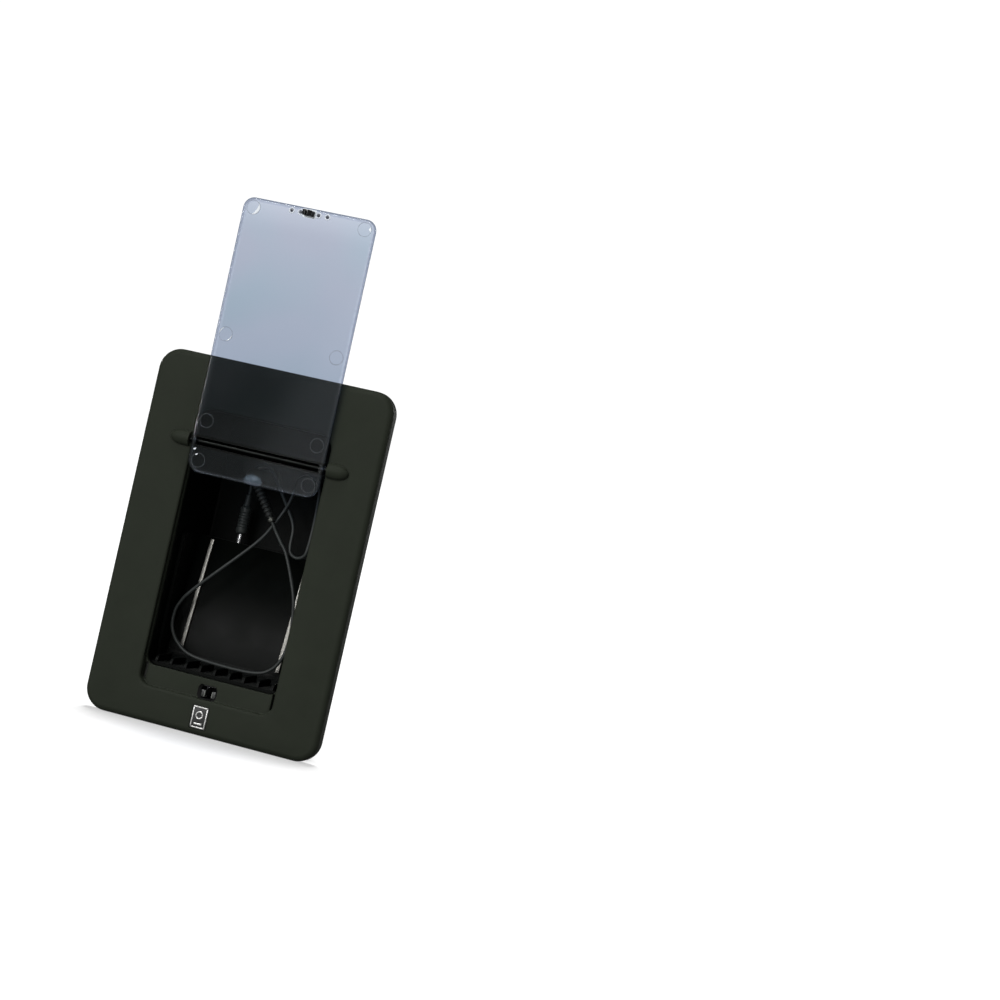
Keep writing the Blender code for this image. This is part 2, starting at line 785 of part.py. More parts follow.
def make_cradle():
    cradle = side_slab("cradle", cradle_profile(), -CRADLE_HALF, CRADLE_HALF)
    for side in (-1, 1):
        low, high = sorted((side * CRADLE_HALF, side * (CRADLE_HALF - CRADLE_WALL)))
        boolean(cradle, cutter(side_slab("wing", wing_profile(), low, high)), "UNION")
    for k in range(FIN_COUNT):
        x = (k - (FIN_COUNT - 1) / 2) * FIN_PITCH
        fin = side_slab("fin", fin_profile(), x - FIN_THICKNESS / 2, x + FIN_THICKNESS / 2)
        boolean(cradle, cutter(fin), "UNION")
    low, high = CRADLE_FLOOR - 0.01, CRADLE_FLOOR + 0.01
    boolean(cradle, cutter(rods("cradle_hole", cradle_screw_spots(), SCREW_HOLE, low, high, "Z")))
    # The tub's lower corners are round, so the cradle's are cut to match, a gap inside them.
    envelope = rounded(CRADLE_HALF + 0.01, CRADLE_FLOOR - 0.01, 0.06, 0.001, 0.001, steps=2)
    inner = rounded(CRADLE_HALF, CRADLE_FLOOR, 0.05, CAVITY_CORNER, 0.004)
    boolean(cradle, cutter(plate("cradle_corner_cut", [envelope, inner], -0.02, 0.06)))
    part(cradle, "player_cradle", "tub_plastic")


def make_rails():
    """Two polished rails up the backrest, which the player's back leans on."""
    up = rest_direction()
    out = Vector((0, -up.z, up.y))
    foot = Vector((0, *REST_FOOT)) + up * 0.0012
    for side, word in ((-1, "left"), (1, "right")):
        bm = bmesh.new()
        bmesh.ops.create_cube(bm, size=1.0)
        bmesh.ops.transform(
            bm, matrix=Matrix.Diagonal((RAIL_WIDTH, RAIL_THICKNESS, RAIL_LENGTH, 1.0)), verts=bm.verts
        )
        rail = mesh_object("rail", bm)
        bevel = rail.modifiers.new("round", "BEVEL")
        bevel.width = 0.0003
        bevel.segments = 2
        lean = math.atan2(-up.y, up.z)
        spot = foot + up * (RAIL_LENGTH / 2) + out * (RAIL_THICKNESS / 2 + GAP)
        rail.location = (side * RAIL_X, spot.y, spot.z)
        rail.rotation_euler = (lean, 0, 0)
        part(rail, "cradle_rail_" + word, "polished")


# ---------------------------------------------------------------- lead


def make_gland():
    """The moulded gland: a boss from the tub's back wall with a ball head, and its shank outside."""
    back = TUB_BACK - GLAND_HEAD_Y
    end = GLAND_END - GLAND_HEAD_Y
    turns = [math.radians(a) for a in (90, 60, 30)]
    ball = [(GLAND_BALL * math.sin(a), -GLAND_BALL * math.cos(a)) for a in turns]
    profile = [
        (0, end),
        (GLAND_SHANK, end),
        (GLAND_SHANK, back - 0.0006),
        (GLAND_FLANGE, back - 0.0006),
        (GLAND_FLANGE, back - 0.0024),
        (GLAND_BALL, back - 0.0030),
    ] + ball + [(0, -GLAND_BALL)]
    gland = turned("gland", profile, pointing((GLAND_X, GLAND_HEAD_Y, GLAND_Z), (0, 1, 0)))
    centre = [(GLAND_X, GLAND_Z)]
    low, high = GLAND_END - SOCKET_DEPTH, GLAND_END + SOCKET_DEPTH
    boolean(gland, cutter(rods("socket_cut", centre, SOCKET_RADIUS, low, high)))
    part(gland, "lead_gland", "tub_plastic")
    nut_front = TUB_BACK + WALL + GAP
    ring = arc((GLAND_X, GLAND_Z), GLAND_NUT_RADIUS, 0, 300, 5)
    hole = arc((GLAND_X, GLAND_Z), GLAND_SHANK + GAP, 0, 337.5, 15)
    nut = plate("nut", [ring, hole], nut_front, nut_front + GLAND_NUT_THICKNESS)
    part(nut, "gland_nut", "tub_plastic")


def make_output_socket():
    """The metal sleeve in the gland's outer end, which the house wiring plugs into."""
    front, back = GLAND_END - SOCKET_DEPTH + GAP, GLAND_END + 0.0015
    outer = arc((GLAND_X, GLAND_Z), SOCKET_RADIUS - GAP, 0, 330, 11)
    bore = arc((GLAND_X, GLAND_Z), SOCKET_BORE, 0, 330, 11)
    part(plate("socket", [outer, bore], front, back), "output_socket", "steel")


def gland_head():
    return Vector((GLAND_X, GLAND_HEAD_Y, GLAND_Z))


def make_strain_relief():
    """A tapered boot with ribs, out of the gland's head."""
    place = pointing(gland_head(), RELIEF_AIM)
    step = (RELIEF_END - RELIEF_START - 0.003) / RELIEF_RIBS
    profile = [(0, RELIEF_END), (RELIEF_TIP, RELIEF_END)]
    for k in range(RELIEF_RIBS):
        top = RELIEF_END - 0.001 - k * step
        rib = RELIEF_TIP + 0.00045 * (1 + k / RELIEF_RIBS)
        profile += [
            (RELIEF_TIP, top),
            (rib, top - step * 0.2),
            (rib, top - step * 0.6),
            (RELIEF_TIP, top - step * 0.8),
        ]
    root = RELIEF_TIP + 0.001
    profile += [(root, RELIEF_START + 0.0015), (root, RELIEF_START), (0, RELIEF_START)]
    part(turned("relief", profile, place, 12), "lead_strain_relief", "rubber")
    low, high = RELIEF_END + GAP, RELIEF_END + GAP + FERRULE_LENGTH
    ring = [(0, high), (RELIEF_TIP, high), (RELIEF_TIP + 0.0005, low), (0, low)]
    part(turned("ferrule", ring, place, 12), "lead_ferrule", "badge_silver")


# The lead's route as (across, height, depth behind the face), in millimetres.
# It leaves the ferrule, drops down the right side to the cradle's fins, crosses them,
# loops up the left side, climbs over the hook, hangs in a short loop, goes over the
# gland and ends in the plug.
LEAD_ROUTE = [
    (13.4, 9.2, 26.8),
    (19.0, 3.0, 24.6),
    (28.4, -15.0, 20.6),
    (31.4, -27.0, 19.8),
    (32.6, -39.0, 19.5),
    (31.2, -49.4, 19.4),
    (26.5, -57.2, 19.2),
    (18.0, -61.2, 18.8),
    (-1.0, -61.8, 18.6),
    (-19.0, -60.4, 18.8),
    (-27.6, -56.0, 19.0),
    (-32.6, -49.5, 19.0),
    (-33.8, -42.5, 19.0),
    (-32.4, -35.0, 19.2),
    (-25.5, -24.5, 20.2),
    (-1.0, 4.6, 26.6),
    (6.0, 17.0, 30.0),
    (10.8, 29.0, 32.2),
    (13.2, 39.6, 33.0),
    (15.6, 45.6, 33.0),
    (20.0, 47.4, 32.8),
    (24.6, 45.0, 32.6),
    (26.8, 38.0, 32.2),
    (28.8, 23.2, 28.4),
    (29.0, 8.6, 26.4),
    (27.5, 4.6, 26.6),
    (23.7, 3.0, 27.2),
    (19.9, 4.6, 27.8),
    (18.4, 8.6, 28.6),
    (16.8, 19.0, 31.0),
    (9.6, 28.8, 34.2),
    (-3.6, 44.0, 39.6),
    (-9.4, 47.4, 41.2),
    (-15.0, 45.0, 42.4),
    (-16.6, 39.4, 43.2),
    (-15.9, 34.2, 43.5),
]


def route_point(across, height, depth):
    return Vector((across / 1000, FACE_Y + depth / 1000, height / 1000))


def make_lead():
    exit_point = gland_head() + RELIEF_AIM * (RELIEF_END + FERRULE_LENGTH + 2 * GAP)
    straight = [exit_point, exit_point + RELIEF_AIM * 0.003, exit_point + RELIEF_AIM * 0.006]
    route = straight + [route_point(*spot) for spot in LEAD_ROUTE]
    end = Vector((PLUG_X, PLUG_Y, PLUG_TOP + GAP))
    lead = wire("lead", smooth_path(route + [end], LEAD_POINTS), LEAD_RADIUS)
    part(lead, "audio_lead", "lead_jacket")


def make_plug():
    place = pointing((PLUG_X, PLUG_Y, PLUG_TOP), (0, 0, -1))
    body = [
        (0, 0.0215),
        (0.0026, 0.0215),
        (0.0031, 0.0205),
        (0.0031, 0.0075),
        (0.0022, 0.0062),
        (0.0018, 0.0050),
        (0.0016, 0.0),
        (0, 0),
    ]
    part(turned("plug", body, place, 16), "lead_plug", "lead_jacket")
    contact = [
        (0, 0.0358),
        (0.0008, 0.0354),
        (0.0016, 0.0340),
        (0.0012, 0.0328),
        (0.0017, 0.0318),
        (0.0017, 0.0218),
        (0, 0.0218),
    ]
    part(turned("contact", contact, place, 12), "plug_contact", "steel")


def make_lead_hook():
    """A peg with a round flange, screwed to the back wall, that the spare lead hangs over."""
    back = TUB_BACK - GAP
    length = back - HOOK_FRONT
    profile = [
        (0, length),
        (HOOK_FLANGE, length),
        (HOOK_FLANGE, length - 0.0018),
        (HOOK_RADIUS, length - 0.003),
        (HOOK_RADIUS, 0.0022),
        (HOOK_FLANGE, 0.0014),
        (HOOK_FLANGE, 0.0005),
        (HOOK_FLANGE - 0.0005, 0),
        (0, 0),
    ]
    hook = turned("hook", profile, pointing((HOOK_X, HOOK_FRONT, HOOK_Z), (0, 1, 0)))
    hole = rods("hook_hole_cut", [(HOOK_X, HOOK_Z)], SCREW_HOLE, back - 0.008, back + 0.01)
    boolean(hook, cutter(hole))
    part(hook, "lead_hook", "tub_plastic")
    screw("hook_screw", (HOOK_X, TUB_BACK + WALL + GAP, HOOK_Z), (0, 1, 0), 0.0095)


# ---------------------------------------------------------------- fasteners


def screw(name, spot, out, length):
    """A pan-head screw: its head rests at the spot, and its shank points against out."""
    profile = [
        (0, SCREW_HEAD),
        (SCREW_HEAD_RADIUS * 0.7, SCREW_HEAD),
        (SCREW_HEAD_RADIUS, SCREW_HEAD * 0.55),
        (SCREW_HEAD_RADIUS, 0),
        (SCREW_RADIUS, 0),
        (SCREW_RADIUS, -length),
        (0, -length),
    ]
    part(turned(name, profile, pointing(spot, out), 10), name, "steel")


def make_screws():
    for k, (x, z) in enumerate(TUB_SCREWS):
        screw(f"tub_screw_{k + 1}", (x, GAP, z), (0, 1, 0), 0.0061)
    for k, (x, z) in enumerate(EAR_SCREWS):
        screw(f"latch_screw_{k + 1}", (x, 2 * GAP + EAR_THICKNESS, z), (0, 1, 0), 0.0078)
    for k, (x, y) in enumerate(cradle_screw_spots()):
        screw(f"cradle_screw_{k + 1}", (x, y, LEDGE_TOP - WALL - GAP), (0, 0, -1), 0.0042)


def make_studs():
    """Four threaded studs in the bezel's back, each with a washer and a nut behind the panel."""
    for k, (x, z) in enumerate(STUD_SPOTS):
        stud = rods("stud", [(x, z)], STUD_RADIUS, STUD_FOOT + GAP, STUD_END)
        part(stud, f"mount_stud_{k + 1}", "steel")
        hole = arc((x, z), STUD_RADIUS + GAP, 0, 330, 11)
        rim = arc((x, z), WASHER_RADIUS, 0, 337.5, 15)
        washer = plate("washer", [rim, hole], WASHER_Y, WASHER_Y + WASHER_THICKNESS)
        part(washer, f"mount_washer_{k + 1}", "steel")
        flats = arc((x, z), NUT_RADIUS, 0, 300, 5)
        low = WASHER_Y + WASHER_THICKNESS + GAP
        part(plate("nut", [flats, hole], low, low + NUT_THICKNESS), f"mount_nut_{k + 1}", "steel")


# ---------------------------------------------------------------- assembly


def make_hinge_empty():
    hinge = bpy.data.objects.new("door_hinge_axis", None)
    PARTS.objects.link(hinge)
    hinge.location = (0, HINGE_Y, HINGE_Z)
    hinge.rotation_euler = (-OPEN_ANGLE, 0, 0)
    return hinge


def main():
    make_bezel()
    make_badge()
    make_panel_gasket()
    make_tub()
    make_hinge()
    hinge = make_hinge_empty()
    make_door(hinge)
    make_latch_hook(hinge)
    make_latch_cage()
    make_jaws()
    make_cradle()
    make_rails()
    make_gland()
    make_output_socket()
    make_strain_relief()
    make_lead()
    make_plug()
    make_lead_hook()
    make_screws()
    make_studs()
    CUTTERS.hide_render = True


clear_scene()
PARTS = new_collection("player_enclosure")
CUTTERS = new_collection("cutters")
main()
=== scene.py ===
"""The looks of a flush-mount enclosure for a portable music player, with its smoked door open.

Metres, +Z up, the bezel's face towards -Y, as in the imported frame. Sizes and places are read
from the frame or typed in again from the CAD. Every solid of the frame but the latch cage has
a finer piece in its place.
"""

from math import atan2, cos, hypot, pi, radians, sin

import bmesh
import bpy
from mathutils import Matrix, Vector


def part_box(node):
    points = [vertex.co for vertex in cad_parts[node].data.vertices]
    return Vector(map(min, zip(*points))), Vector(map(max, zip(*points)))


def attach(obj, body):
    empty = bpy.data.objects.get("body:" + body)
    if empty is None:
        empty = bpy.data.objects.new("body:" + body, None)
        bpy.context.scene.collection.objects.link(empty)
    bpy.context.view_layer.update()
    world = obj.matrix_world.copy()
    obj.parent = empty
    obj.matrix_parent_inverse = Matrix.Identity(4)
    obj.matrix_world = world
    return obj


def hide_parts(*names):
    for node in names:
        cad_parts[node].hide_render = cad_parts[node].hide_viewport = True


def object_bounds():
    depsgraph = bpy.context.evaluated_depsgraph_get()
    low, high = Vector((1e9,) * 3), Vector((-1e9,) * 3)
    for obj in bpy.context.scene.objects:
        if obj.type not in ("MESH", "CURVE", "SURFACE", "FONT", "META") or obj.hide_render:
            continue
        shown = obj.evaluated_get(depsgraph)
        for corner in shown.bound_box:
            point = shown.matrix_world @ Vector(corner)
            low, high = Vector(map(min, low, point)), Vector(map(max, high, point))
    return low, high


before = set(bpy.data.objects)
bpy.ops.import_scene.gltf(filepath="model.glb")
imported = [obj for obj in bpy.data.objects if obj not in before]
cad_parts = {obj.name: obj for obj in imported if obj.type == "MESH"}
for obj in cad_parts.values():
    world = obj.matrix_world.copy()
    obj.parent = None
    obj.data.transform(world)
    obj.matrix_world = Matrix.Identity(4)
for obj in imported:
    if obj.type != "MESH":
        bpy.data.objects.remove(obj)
CAD_LOW, CAD_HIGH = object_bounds()

MM = 0.001
GAP = 0.0003

# Camera: on the object's right, nearly level with its middle, and rolled
CAMERA_SPOT = (0.359, -1.002, 0.0630)
CAMERA_AZIMUTH = 12.87
CAMERA_ELEVATION = 0.29
CAMERA_ROLL = 12.86
CAMERA_LENS = 72.0

# Read from the frame
FACE_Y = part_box("badge")[0].y + 0.0001
BEZEL_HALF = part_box("bezel")[1].x
BEZEL_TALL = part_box("bezel")[1].z
ROD_LOW, ROD_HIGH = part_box("hinge_rod")
HINGE = Vector((0, (ROD_LOW.y + ROD_HIGH.y) / 2, (ROD_LOW.z + ROD_HIGH.z) / 2))
ROD_RADIUS = (ROD_HIGH.z - ROD_LOW.z) / 2
DOOR_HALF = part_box("door_panel")[1].x

# The CAD's own sizes, typed in again
BEZEL_CORNER = 0.012
BEZEL_FILLET = 0.0032
LEDGE_Y = FACE_Y + 0.0037
OPENING_HALF = 0.0376
RECESS_LOW = -0.0792
LEDGE_TOP = -0.0685
OPENING_TOP = 0.0703
RECESS_CORNER = 0.006
CAVITY_CORNER = 0.005
TOP_CORNER = 0.008
FLANGE_LOW, FLANGE_HIGH = -0.0875, 0.079
FLANGE_HALF = 0.0465
FLANGE_THICKNESS = 0.0025
FLANGE_CORNER = 0.009
TUB_BACK = 0.046
WALL = 0.0022
OPEN_ANGLE = radians(178.8)
BOSS_ROOT = 0.0356
BORE_RADIUS = 0.0018
CHANNEL_RADIUS = 0.0021
CHANNEL_HALF = 0.0347
BARREL_RADIUS = 0.0033
DOOR_REACH = 0.1314
TAB_REACH = 0.0167
DOOR_OUTER = 0.0008
DOOR_INNER = 0.0033
DOOR_CORNER = 0.006
TAB_CORNER = 0.0075
LATCH_Z = -0.0756
CAGE_HALF_HEIGHT = 0.0035
JAW_PIVOT = (0.0043, 0.0068)
GLAND = Vector((-0.010, FACE_Y + 0.028, 0.0405))
RELIEF_AIM = Vector((0.585, 0.0, -0.811)).normalized()
RELIEF_START = 0.0048
RELIEF_END = 0.0245
FERRULE_LENGTH = 0.0018
LEAD_RADIUS = 0.0009
PLUG = Vector((-0.0158, FACE_Y + 0.0435, 0.0295))
PEG_X, PEG_Z = 0.0195, 0.041
RAIL_X = 0.028
RAIL_HALF = Vector((0.00115, 0.00055, 0.031))
CRADLE_SCREW_X = 0.0207
CRADLE_SCREW_Y = FACE_Y + 0.030
SCREW_HOLE = 0.0014
STUD_HOLE = 0.0023
TUB_SCREWS = [(side * 0.0433, z) for z in (-0.055, 0.002, 0.072) for side in (-1, 1)]
EAR_SCREWS = [(-0.0045, -0.0842), (0.0045, -0.0842)]
STUD_SPOTS = [(side * 0.054, z) for z in (-0.07, 0.07) for side in (-1, 1)]

# Only in the visual model: how far cutters reach, and the door's scoop, rim and marks, with the
# widths of the painted highlight band inside the rim and the painted dark edge
REACH = 0.02
SCOOP_RADIUS = 0.0135
SCOOP_SQUASH = 0.62
SCOOP = Vector((0, DOOR_OUTER - 0.0125, TAB_REACH - 0.0024))
RIM_ROUND = 0.0011
RIM_HIGHLIGHT_BAND = 0.0019
RIM_SHADE_WIDTH = 0.0007
CLOSE = 0.00005
MARK_X = 0.0312
MARK_RADIUS = 0.0037
TOP_MARK, MIDDLE_MARK, TAB_MARK = 0.126, 0.058, -0.010
DOT_Z = -0.1284

RIGHT, BACK, UP = (1, 0, 0), (0, 1, 0), (0, 0, 1)
MATERIALS = {}


def new_object(name, data):
    obj = bpy.data.objects.new(name, data)
    bpy.context.scene.collection.objects.link(obj)
    return obj


def towards(azimuth, elevation):
    """The direction of an azimuth to the right of the front and an elevation, in degrees."""
    a, e = radians(azimuth), radians(elevation)
    return Vector((sin(a) * cos(e), -cos(a) * cos(e), sin(e)))


# ---- camera


def make_camera():
    data = bpy.data.cameras.new("camera")
    data.lens = CAMERA_LENS
    data.sensor_width = 36.0
    data.clip_start = 0.01
    data.clip_end = 50.0
    camera = new_object("camera", data)
    back = towards(CAMERA_AZIMUTH, CAMERA_ELEVATION)
    level = back.to_track_quat("Z", "Y").to_matrix().to_4x4()
    roll = Matrix.Rotation(radians(CAMERA_ROLL), 4, "Z")
    camera.matrix_world = Matrix.Translation(CAMERA_SPOT) @ level @ roll
    bpy.context.scene.camera = camera


# ---- materials


class Nodes:
    """A material's node tree, with short calls to add and join nodes."""

    def __init__(self, name):
        MATERIALS[name] = bpy.data.materials.new(name)
        MATERIALS[name].use_nodes = True
        self.tree = MATERIALS[name].node_tree
        self.shader = self.tree.nodes["Principled BSDF"]
        self.output = self.tree.nodes["Material Output"]
        self.place = self.tree.nodes.new("ShaderNodeTexCoord").outputs["Object"]

    def add(self, kind):
        return self.tree.nodes.new("ShaderNode" + kind)

    def link(self, source, target):
        self.tree.links.new(source, target)

    def noise(self, size, detail=2.0, stretch=(1, 1, 1)):
        """Noise whose cells are about size across, in metres."""
        mapping = self.add("Mapping")
        mapping.inputs["Scale"].default_value = [s / size for s in stretch]
        self.link(self.place, mapping.inputs["Vector"])
        noise = self.add("TexNoise")
        noise.inputs["Scale"].default_value = 1.0
        noise.inputs["Detail"].default_value = detail
        self.link(mapping.outputs["Vector"], noise.inputs["Vector"])
        return noise.outputs["Fac"]

    def ramp(self, source, low, high, start=0.3, end=0.7, middle=None):
        """Colours from low to high as source goes from start to end, by way of (place, colour)."""
        ramp = self.add("ValToRGB")
        first, last = ramp.color_ramp.elements
        first.position, last.position = start, end
        first.color, last.color = (*low, 1), (*high, 1)
        if middle:
            ramp.color_ramp.elements.new(middle[0]).color = (*middle[1], 1)
        self.link(source, ramp.inputs["Fac"])
        return ramp.outputs["Color"]

    def span(self, source, low, high, start=0.3, end=0.7):
        node = self.add("MapRange")
        ends = {"From Min": start, "From Max": end, "To Min": low, "To Max": high}
        for name, value in ends.items():
            node.inputs[name].default_value = value
        self.link(source, node.inputs["Value"])
        return node.outputs["Result"]

    def bump(self, source, depth, strength):
        node = self.add("Bump")
        node.inputs["Distance"].default_value = depth
        node.inputs["Strength"].default_value = strength
        self.link(source, node.inputs["Height"])
        return node.outputs["Normal"]

    def finish(self, **values):
        for key, value in values.items():
            self.shader.inputs[key.replace("_", " ")].default_value = value

    def paint(self, color):
        self.link(color, self.shader.inputs["Base Color"])


def scaled(color, share):
    return tuple(c * share for c in color)


def moulded(name, color, roughness, grain=0.00035, depth=0.00003, mottle=0.12, specular=0.5):
    """Moulded plastic: fine spark texture, slow mottling and uneven gloss."""
    n = Nodes(name)
    slow = n.noise(0.014, 3.0)
    fine = n.noise(grain, 2.0)
    n.paint(n.ramp(slow, scaled(color, 1 - mottle), scaled(color, 1 + mottle)))
    n.link(n.span(slow, roughness - 0.05, roughness + 0.05), n.shader.inputs["Roughness"])
    n.link(n.bump(fine, depth, 0.6), n.shader.inputs["Normal"])
    n.finish(Specular_IOR_Level=specular)


def metal(name, color, roughness, stretch=(1, 1, 1), grain=0.0005, depth=0.00001):
    """Metal with fine drawn lines or plating grain and slightly uneven polish."""
    n = Nodes(name)
    lines = n.noise(grain, 3.0, stretch)
    slow = n.noise(0.004, 2.0)
    n.paint(n.ramp(slow, scaled(color, 0.85), scaled(color, 1.08)))
    n.link(n.span(lines, roughness * 0.75, roughness * 1.3), n.shader.inputs["Roughness"])
    n.link(n.bump(lines, depth, 0.5), n.shader.inputs["Normal"])
    n.finish(Metallic=1.0)


def window(n, tint, haze, share, gloss=0.05, most=1.0):
    """See-through plastic: tinted clearness, a little haze in it, and a mirror-like surface.

    share is how much the haze hides, and most is the most that the surface mirrors.
    """
    clear = n.add("BsdfTransparent")
    n.link(tint, clear.inputs["Color"])
    n.shader.inputs["Base Color"].default_value = (*haze, 1)
    n.shader.inputs["Specular IOR Level"].default_value = 0.0
    n.shader.inputs["Roughness"].default_value = 0.6
    body = n.add("MixShader")
    body.inputs["Fac"].default_value = share
    n.link(clear.outputs["BSDF"], body.inputs[1])
    n.link(n.shader.outputs["BSDF"], body.inputs[2])
    polish = n.noise(0.03, 2.0)
    mirror = n.add("BsdfAnisotropic")
    n.link(n.span(polish, gloss * 0.7, gloss * 1.4), mirror.inputs["Roughness"])
    n.link(n.bump(polish, 0.00003, 0.3), mirror.inputs["Normal"])
    fresnel = n.add("Fresnel")
    fresnel.inputs["IOR"].default_value = 1.5
    mix = n.add("MixShader")
    n.link(n.span(fresnel.outputs["Fac"], 0.0, most, 0.0, most), mix.inputs["Fac"])
    n.link(body.outputs["Shader"], mix.inputs[1])
    n.link(mirror.outputs["BSDF"], mix.inputs[2])
    n.link(mix.outputs["Shader"], n.output.inputs["Surface"])


def smoked(name):
    """Smoked clear plastic: paler towards the free end, with faint warm and cool clouds."""
    n = Nodes(name)
    along = n.add("SeparateXYZ")
    n.link(n.place, along.inputs["Vector"])
    height = along.outputs["Z"]
    clouds = n.noise(0.05, 1.0)
    start, end, upper = 0.09, 0.185, 0.17
    low, middle, high = (0.54, 0.615, 0.685), (0.65, 0.71, 0.78), (0.75, 0.79, 0.86)
    cool = n.ramp(height, low, high, start, end, (upper, middle))
    low, middle, high = (0.585, 0.635, 0.715), (0.67, 0.7, 0.775), (0.76, 0.79, 0.86)
    warm = n.ramp(height, low, high, start, end, (upper, middle))
    blend = n.add("MixRGB")
    n.link(n.span(clouds, 0.0, 1.0, 0.4, 0.6), blend.inputs["Fac"])
    n.link(cool, blend.inputs["Color1"])
    n.link(warm, blend.inputs["Color2"])
    window(n, blend.outputs["Color"], (0.13, 0.2, 0.17), 0.01, 0.09, 0.2)


def smoked_part(name, tint, haze, share, gloss):
    """A part of the smoked door in its own tint and haze: painted highlights on the edge band,
    scoop and rings, painted shade on the outer rim and barrel.
    """
    n = Nodes(name)
    window(n, n.ramp(n.noise(0.002), scaled(tint, 0.9), tint), haze, share, gloss, 0.05)


def make_materials():
    charcoal = (0.0208, 0.0246, 0.0176)
    moulded("bezel_plastic", charcoal, 0.55, 0.0003, 0.00001, 0.06, 0.06)
    # tub_plastic is far darker than tub_outside, the outside of the same moulding: painted shade
    # for the deep cavity.
    moulded("tub_plastic", (0.0018, 0.0024, 0.002), 0.45, 0.0004, 0.000006, 0.2, 0.06)
    moulded("tub_outside", scaled(charcoal, 0.65), 0.5, grain=0.0005, mottle=0.15)
    smoked("smoked_clear")
    # A paler band just inside the door's rounded edge: painted highlight.
    smoked_part("smoked_edge_highlight", (0.7, 0.74, 0.83), (0.5, 0.6, 0.62), 0.018, 0.12)
    # A darker outermost rim on the door: painted shade.
    smoked_part("smoked_rim_shade", (0.5, 0.54, 0.62), (0.3, 0.36, 0.38), 0.012, 0.14)
    # Clearer, paler ejector rings: painted highlight on the raised rings.
    smoked_part("smoked_ring_highlight", (1.0, 1.0, 1.0), (0.6, 0.66, 0.68), 0.035, 0.05)
    # A pale haze in the thumb scoop: a ground surface, made pale as a painted highlight.
    smoked_part("smoked_ground_highlight", (0.9, 0.92, 0.95), (0.75, 0.79, 0.82), 0.24, 0.3)
    # Pale crescents, halos and a pad on the door's marks: painted highlights.
    moulded("pale_highlight", (0.85, 0.9, 0.95), 0.2, grain=0.0004, depth=0.00001)
    # A dark tint on the hinge barrel's outside: painted shade.
    smoked_part("smoked_barrel_shade", (0.3, 0.33, 0.33), (0.1, 0.1, 0.1), 0.01, 0.1)
    # Near-black, opaque walls for the rod channel in the clear door: painted shade.
    moulded("smoked_channel_shade", (0.0012, 0.0015, 0.0015), 0.5, specular=0.1)
    moulded("smoked_dark", (0.03, 0.035, 0.05), 0.3, grain=0.0004)
    moulded("latch_black", (0.006, 0.006, 0.006), 0.32, grain=0.0003)
    moulded("jaw_acetal", (0.03, 0.032, 0.03), 0.4, grain=0.0003)
    # A paler lip on each latch jaw: painted highlight.
    moulded("jaw_lip_highlight", (0.16, 0.17, 0.155), 0.4, grain=0.0002)
    metal("steel", (0.56, 0.56, 0.57), 0.3)
    metal("black_steel", (0.011, 0.012, 0.0115), 0.36, stretch=(0.05, 1, 1))
    metal("polished", (0.2, 0.195, 0.18), 0.42, stretch=(1, 1, 0.04), grain=0.0003)
    metal("badge_silver", (0.72, 0.72, 0.7), 0.4, stretch=(0.05, 1, 1), grain=0.0003)
    moulded("badge_dark", (0.012, 0.013, 0.012), 0.45, grain=0.0002)
    metal("ferrule_nickel", (0.3, 0.31, 0.28), 0.4)
    moulded("rubber", (0.017, 0.019, 0.018), 0.55, 0.0002, 0.00001, specular=0.3)
    moulded("lead_jacket", (0.022, 0.026, 0.025), 0.5, 0.0009, 0.00001, 0.1, 0.35)
    moulded("insulator", (0.01, 0.01, 0.01), 0.35, grain=0.0002)


# ---- shapes


def place_piece(obj, name, slot, material=None, node=None, body="enclosure"):
    """Names a piece, gives it its material, hangs it on a body, and lets it replace a node."""
    obj.name = name
    obj.data.name = name
    obj.data.materials.clear()
    obj.data.materials.append(MATERIALS[material or slot])
    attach(obj, body)
    if node:
        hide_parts(node)
    return obj


def finish_part(obj, material, chosen, by_corners=False):
    """Gives another material to the faces whose middle, or whose every corner, is chosen."""
    mesh = obj.data
    mesh.materials.append(MATERIALS[material])
    for face in mesh.polygons:
        spots = [mesh.vertices[v].co for v in face.vertices] if by_corners else [face.center]
        if all(chosen(spot) for spot in spots):
            face.material_index = len(mesh.materials) - 1


def smooth(obj, angle=32):
    obj.data.shade_smooth()
    obj.data.set_sharp_from_angle(angle=radians(angle))
    return obj


def mesh_of(bm):
    bmesh.ops.recalc_face_normals(bm, faces=bm.faces)
    mesh = bpy.data.meshes.new("piece")
    bm.to_mesh(mesh)
    bm.free()
    return new_object("piece", mesh)


def arc(centre, radius, start, end, steps):
    turns = [radians(start + (end - start) * i / steps) for i in range(steps + 1)]
    return [(centre[0] + radius * cos(a), centre[1] + radius * sin(a)) for a in turns]


def outline(half, low, top, low_corner, top_corner, steps=14):
    """An upright rectangle with rounded corners, as a function of how far it's moved out."""

    def grown(by):
        side, foot, head = half + by, low - by, top + by
        under, over = max(low_corner + by, 1e-5), max(top_corner + by, 1e-5)
        return (
            arc((side - over, head - over), over, 0, 90, steps)
            + arc((-side + over, head - over), over, 90, 180, steps)
            + arc((-side + under, foot + under), under, 180, 270, steps)
            + arc((side - under, foot + under), under, 270, 360, steps)
        )

    return grown


recess_at = outline(OPENING_HALF, RECESS_LOW, OPENING_TOP, RECESS_CORNER, TOP_CORNER)
cavity_at = outline(OPENING_HALF, LEDGE_TOP, OPENING_TOP, CAVITY_CORNER, TOP_CORNER)
bezel_at = outline(BEZEL_HALF, -BEZEL_TALL, BEZEL_TALL, BEZEL_CORNER, BEZEL_CORNER)
flange_at = outline(FLANGE_HALF, FLANGE_LOW, FLANGE_HIGH, FLANGE_CORNER, FLANGE_CORNER)
door_at = outline(DOOR_HALF, -DOOR_REACH, TAB_REACH, DOOR_CORNER, TAB_CORNER)


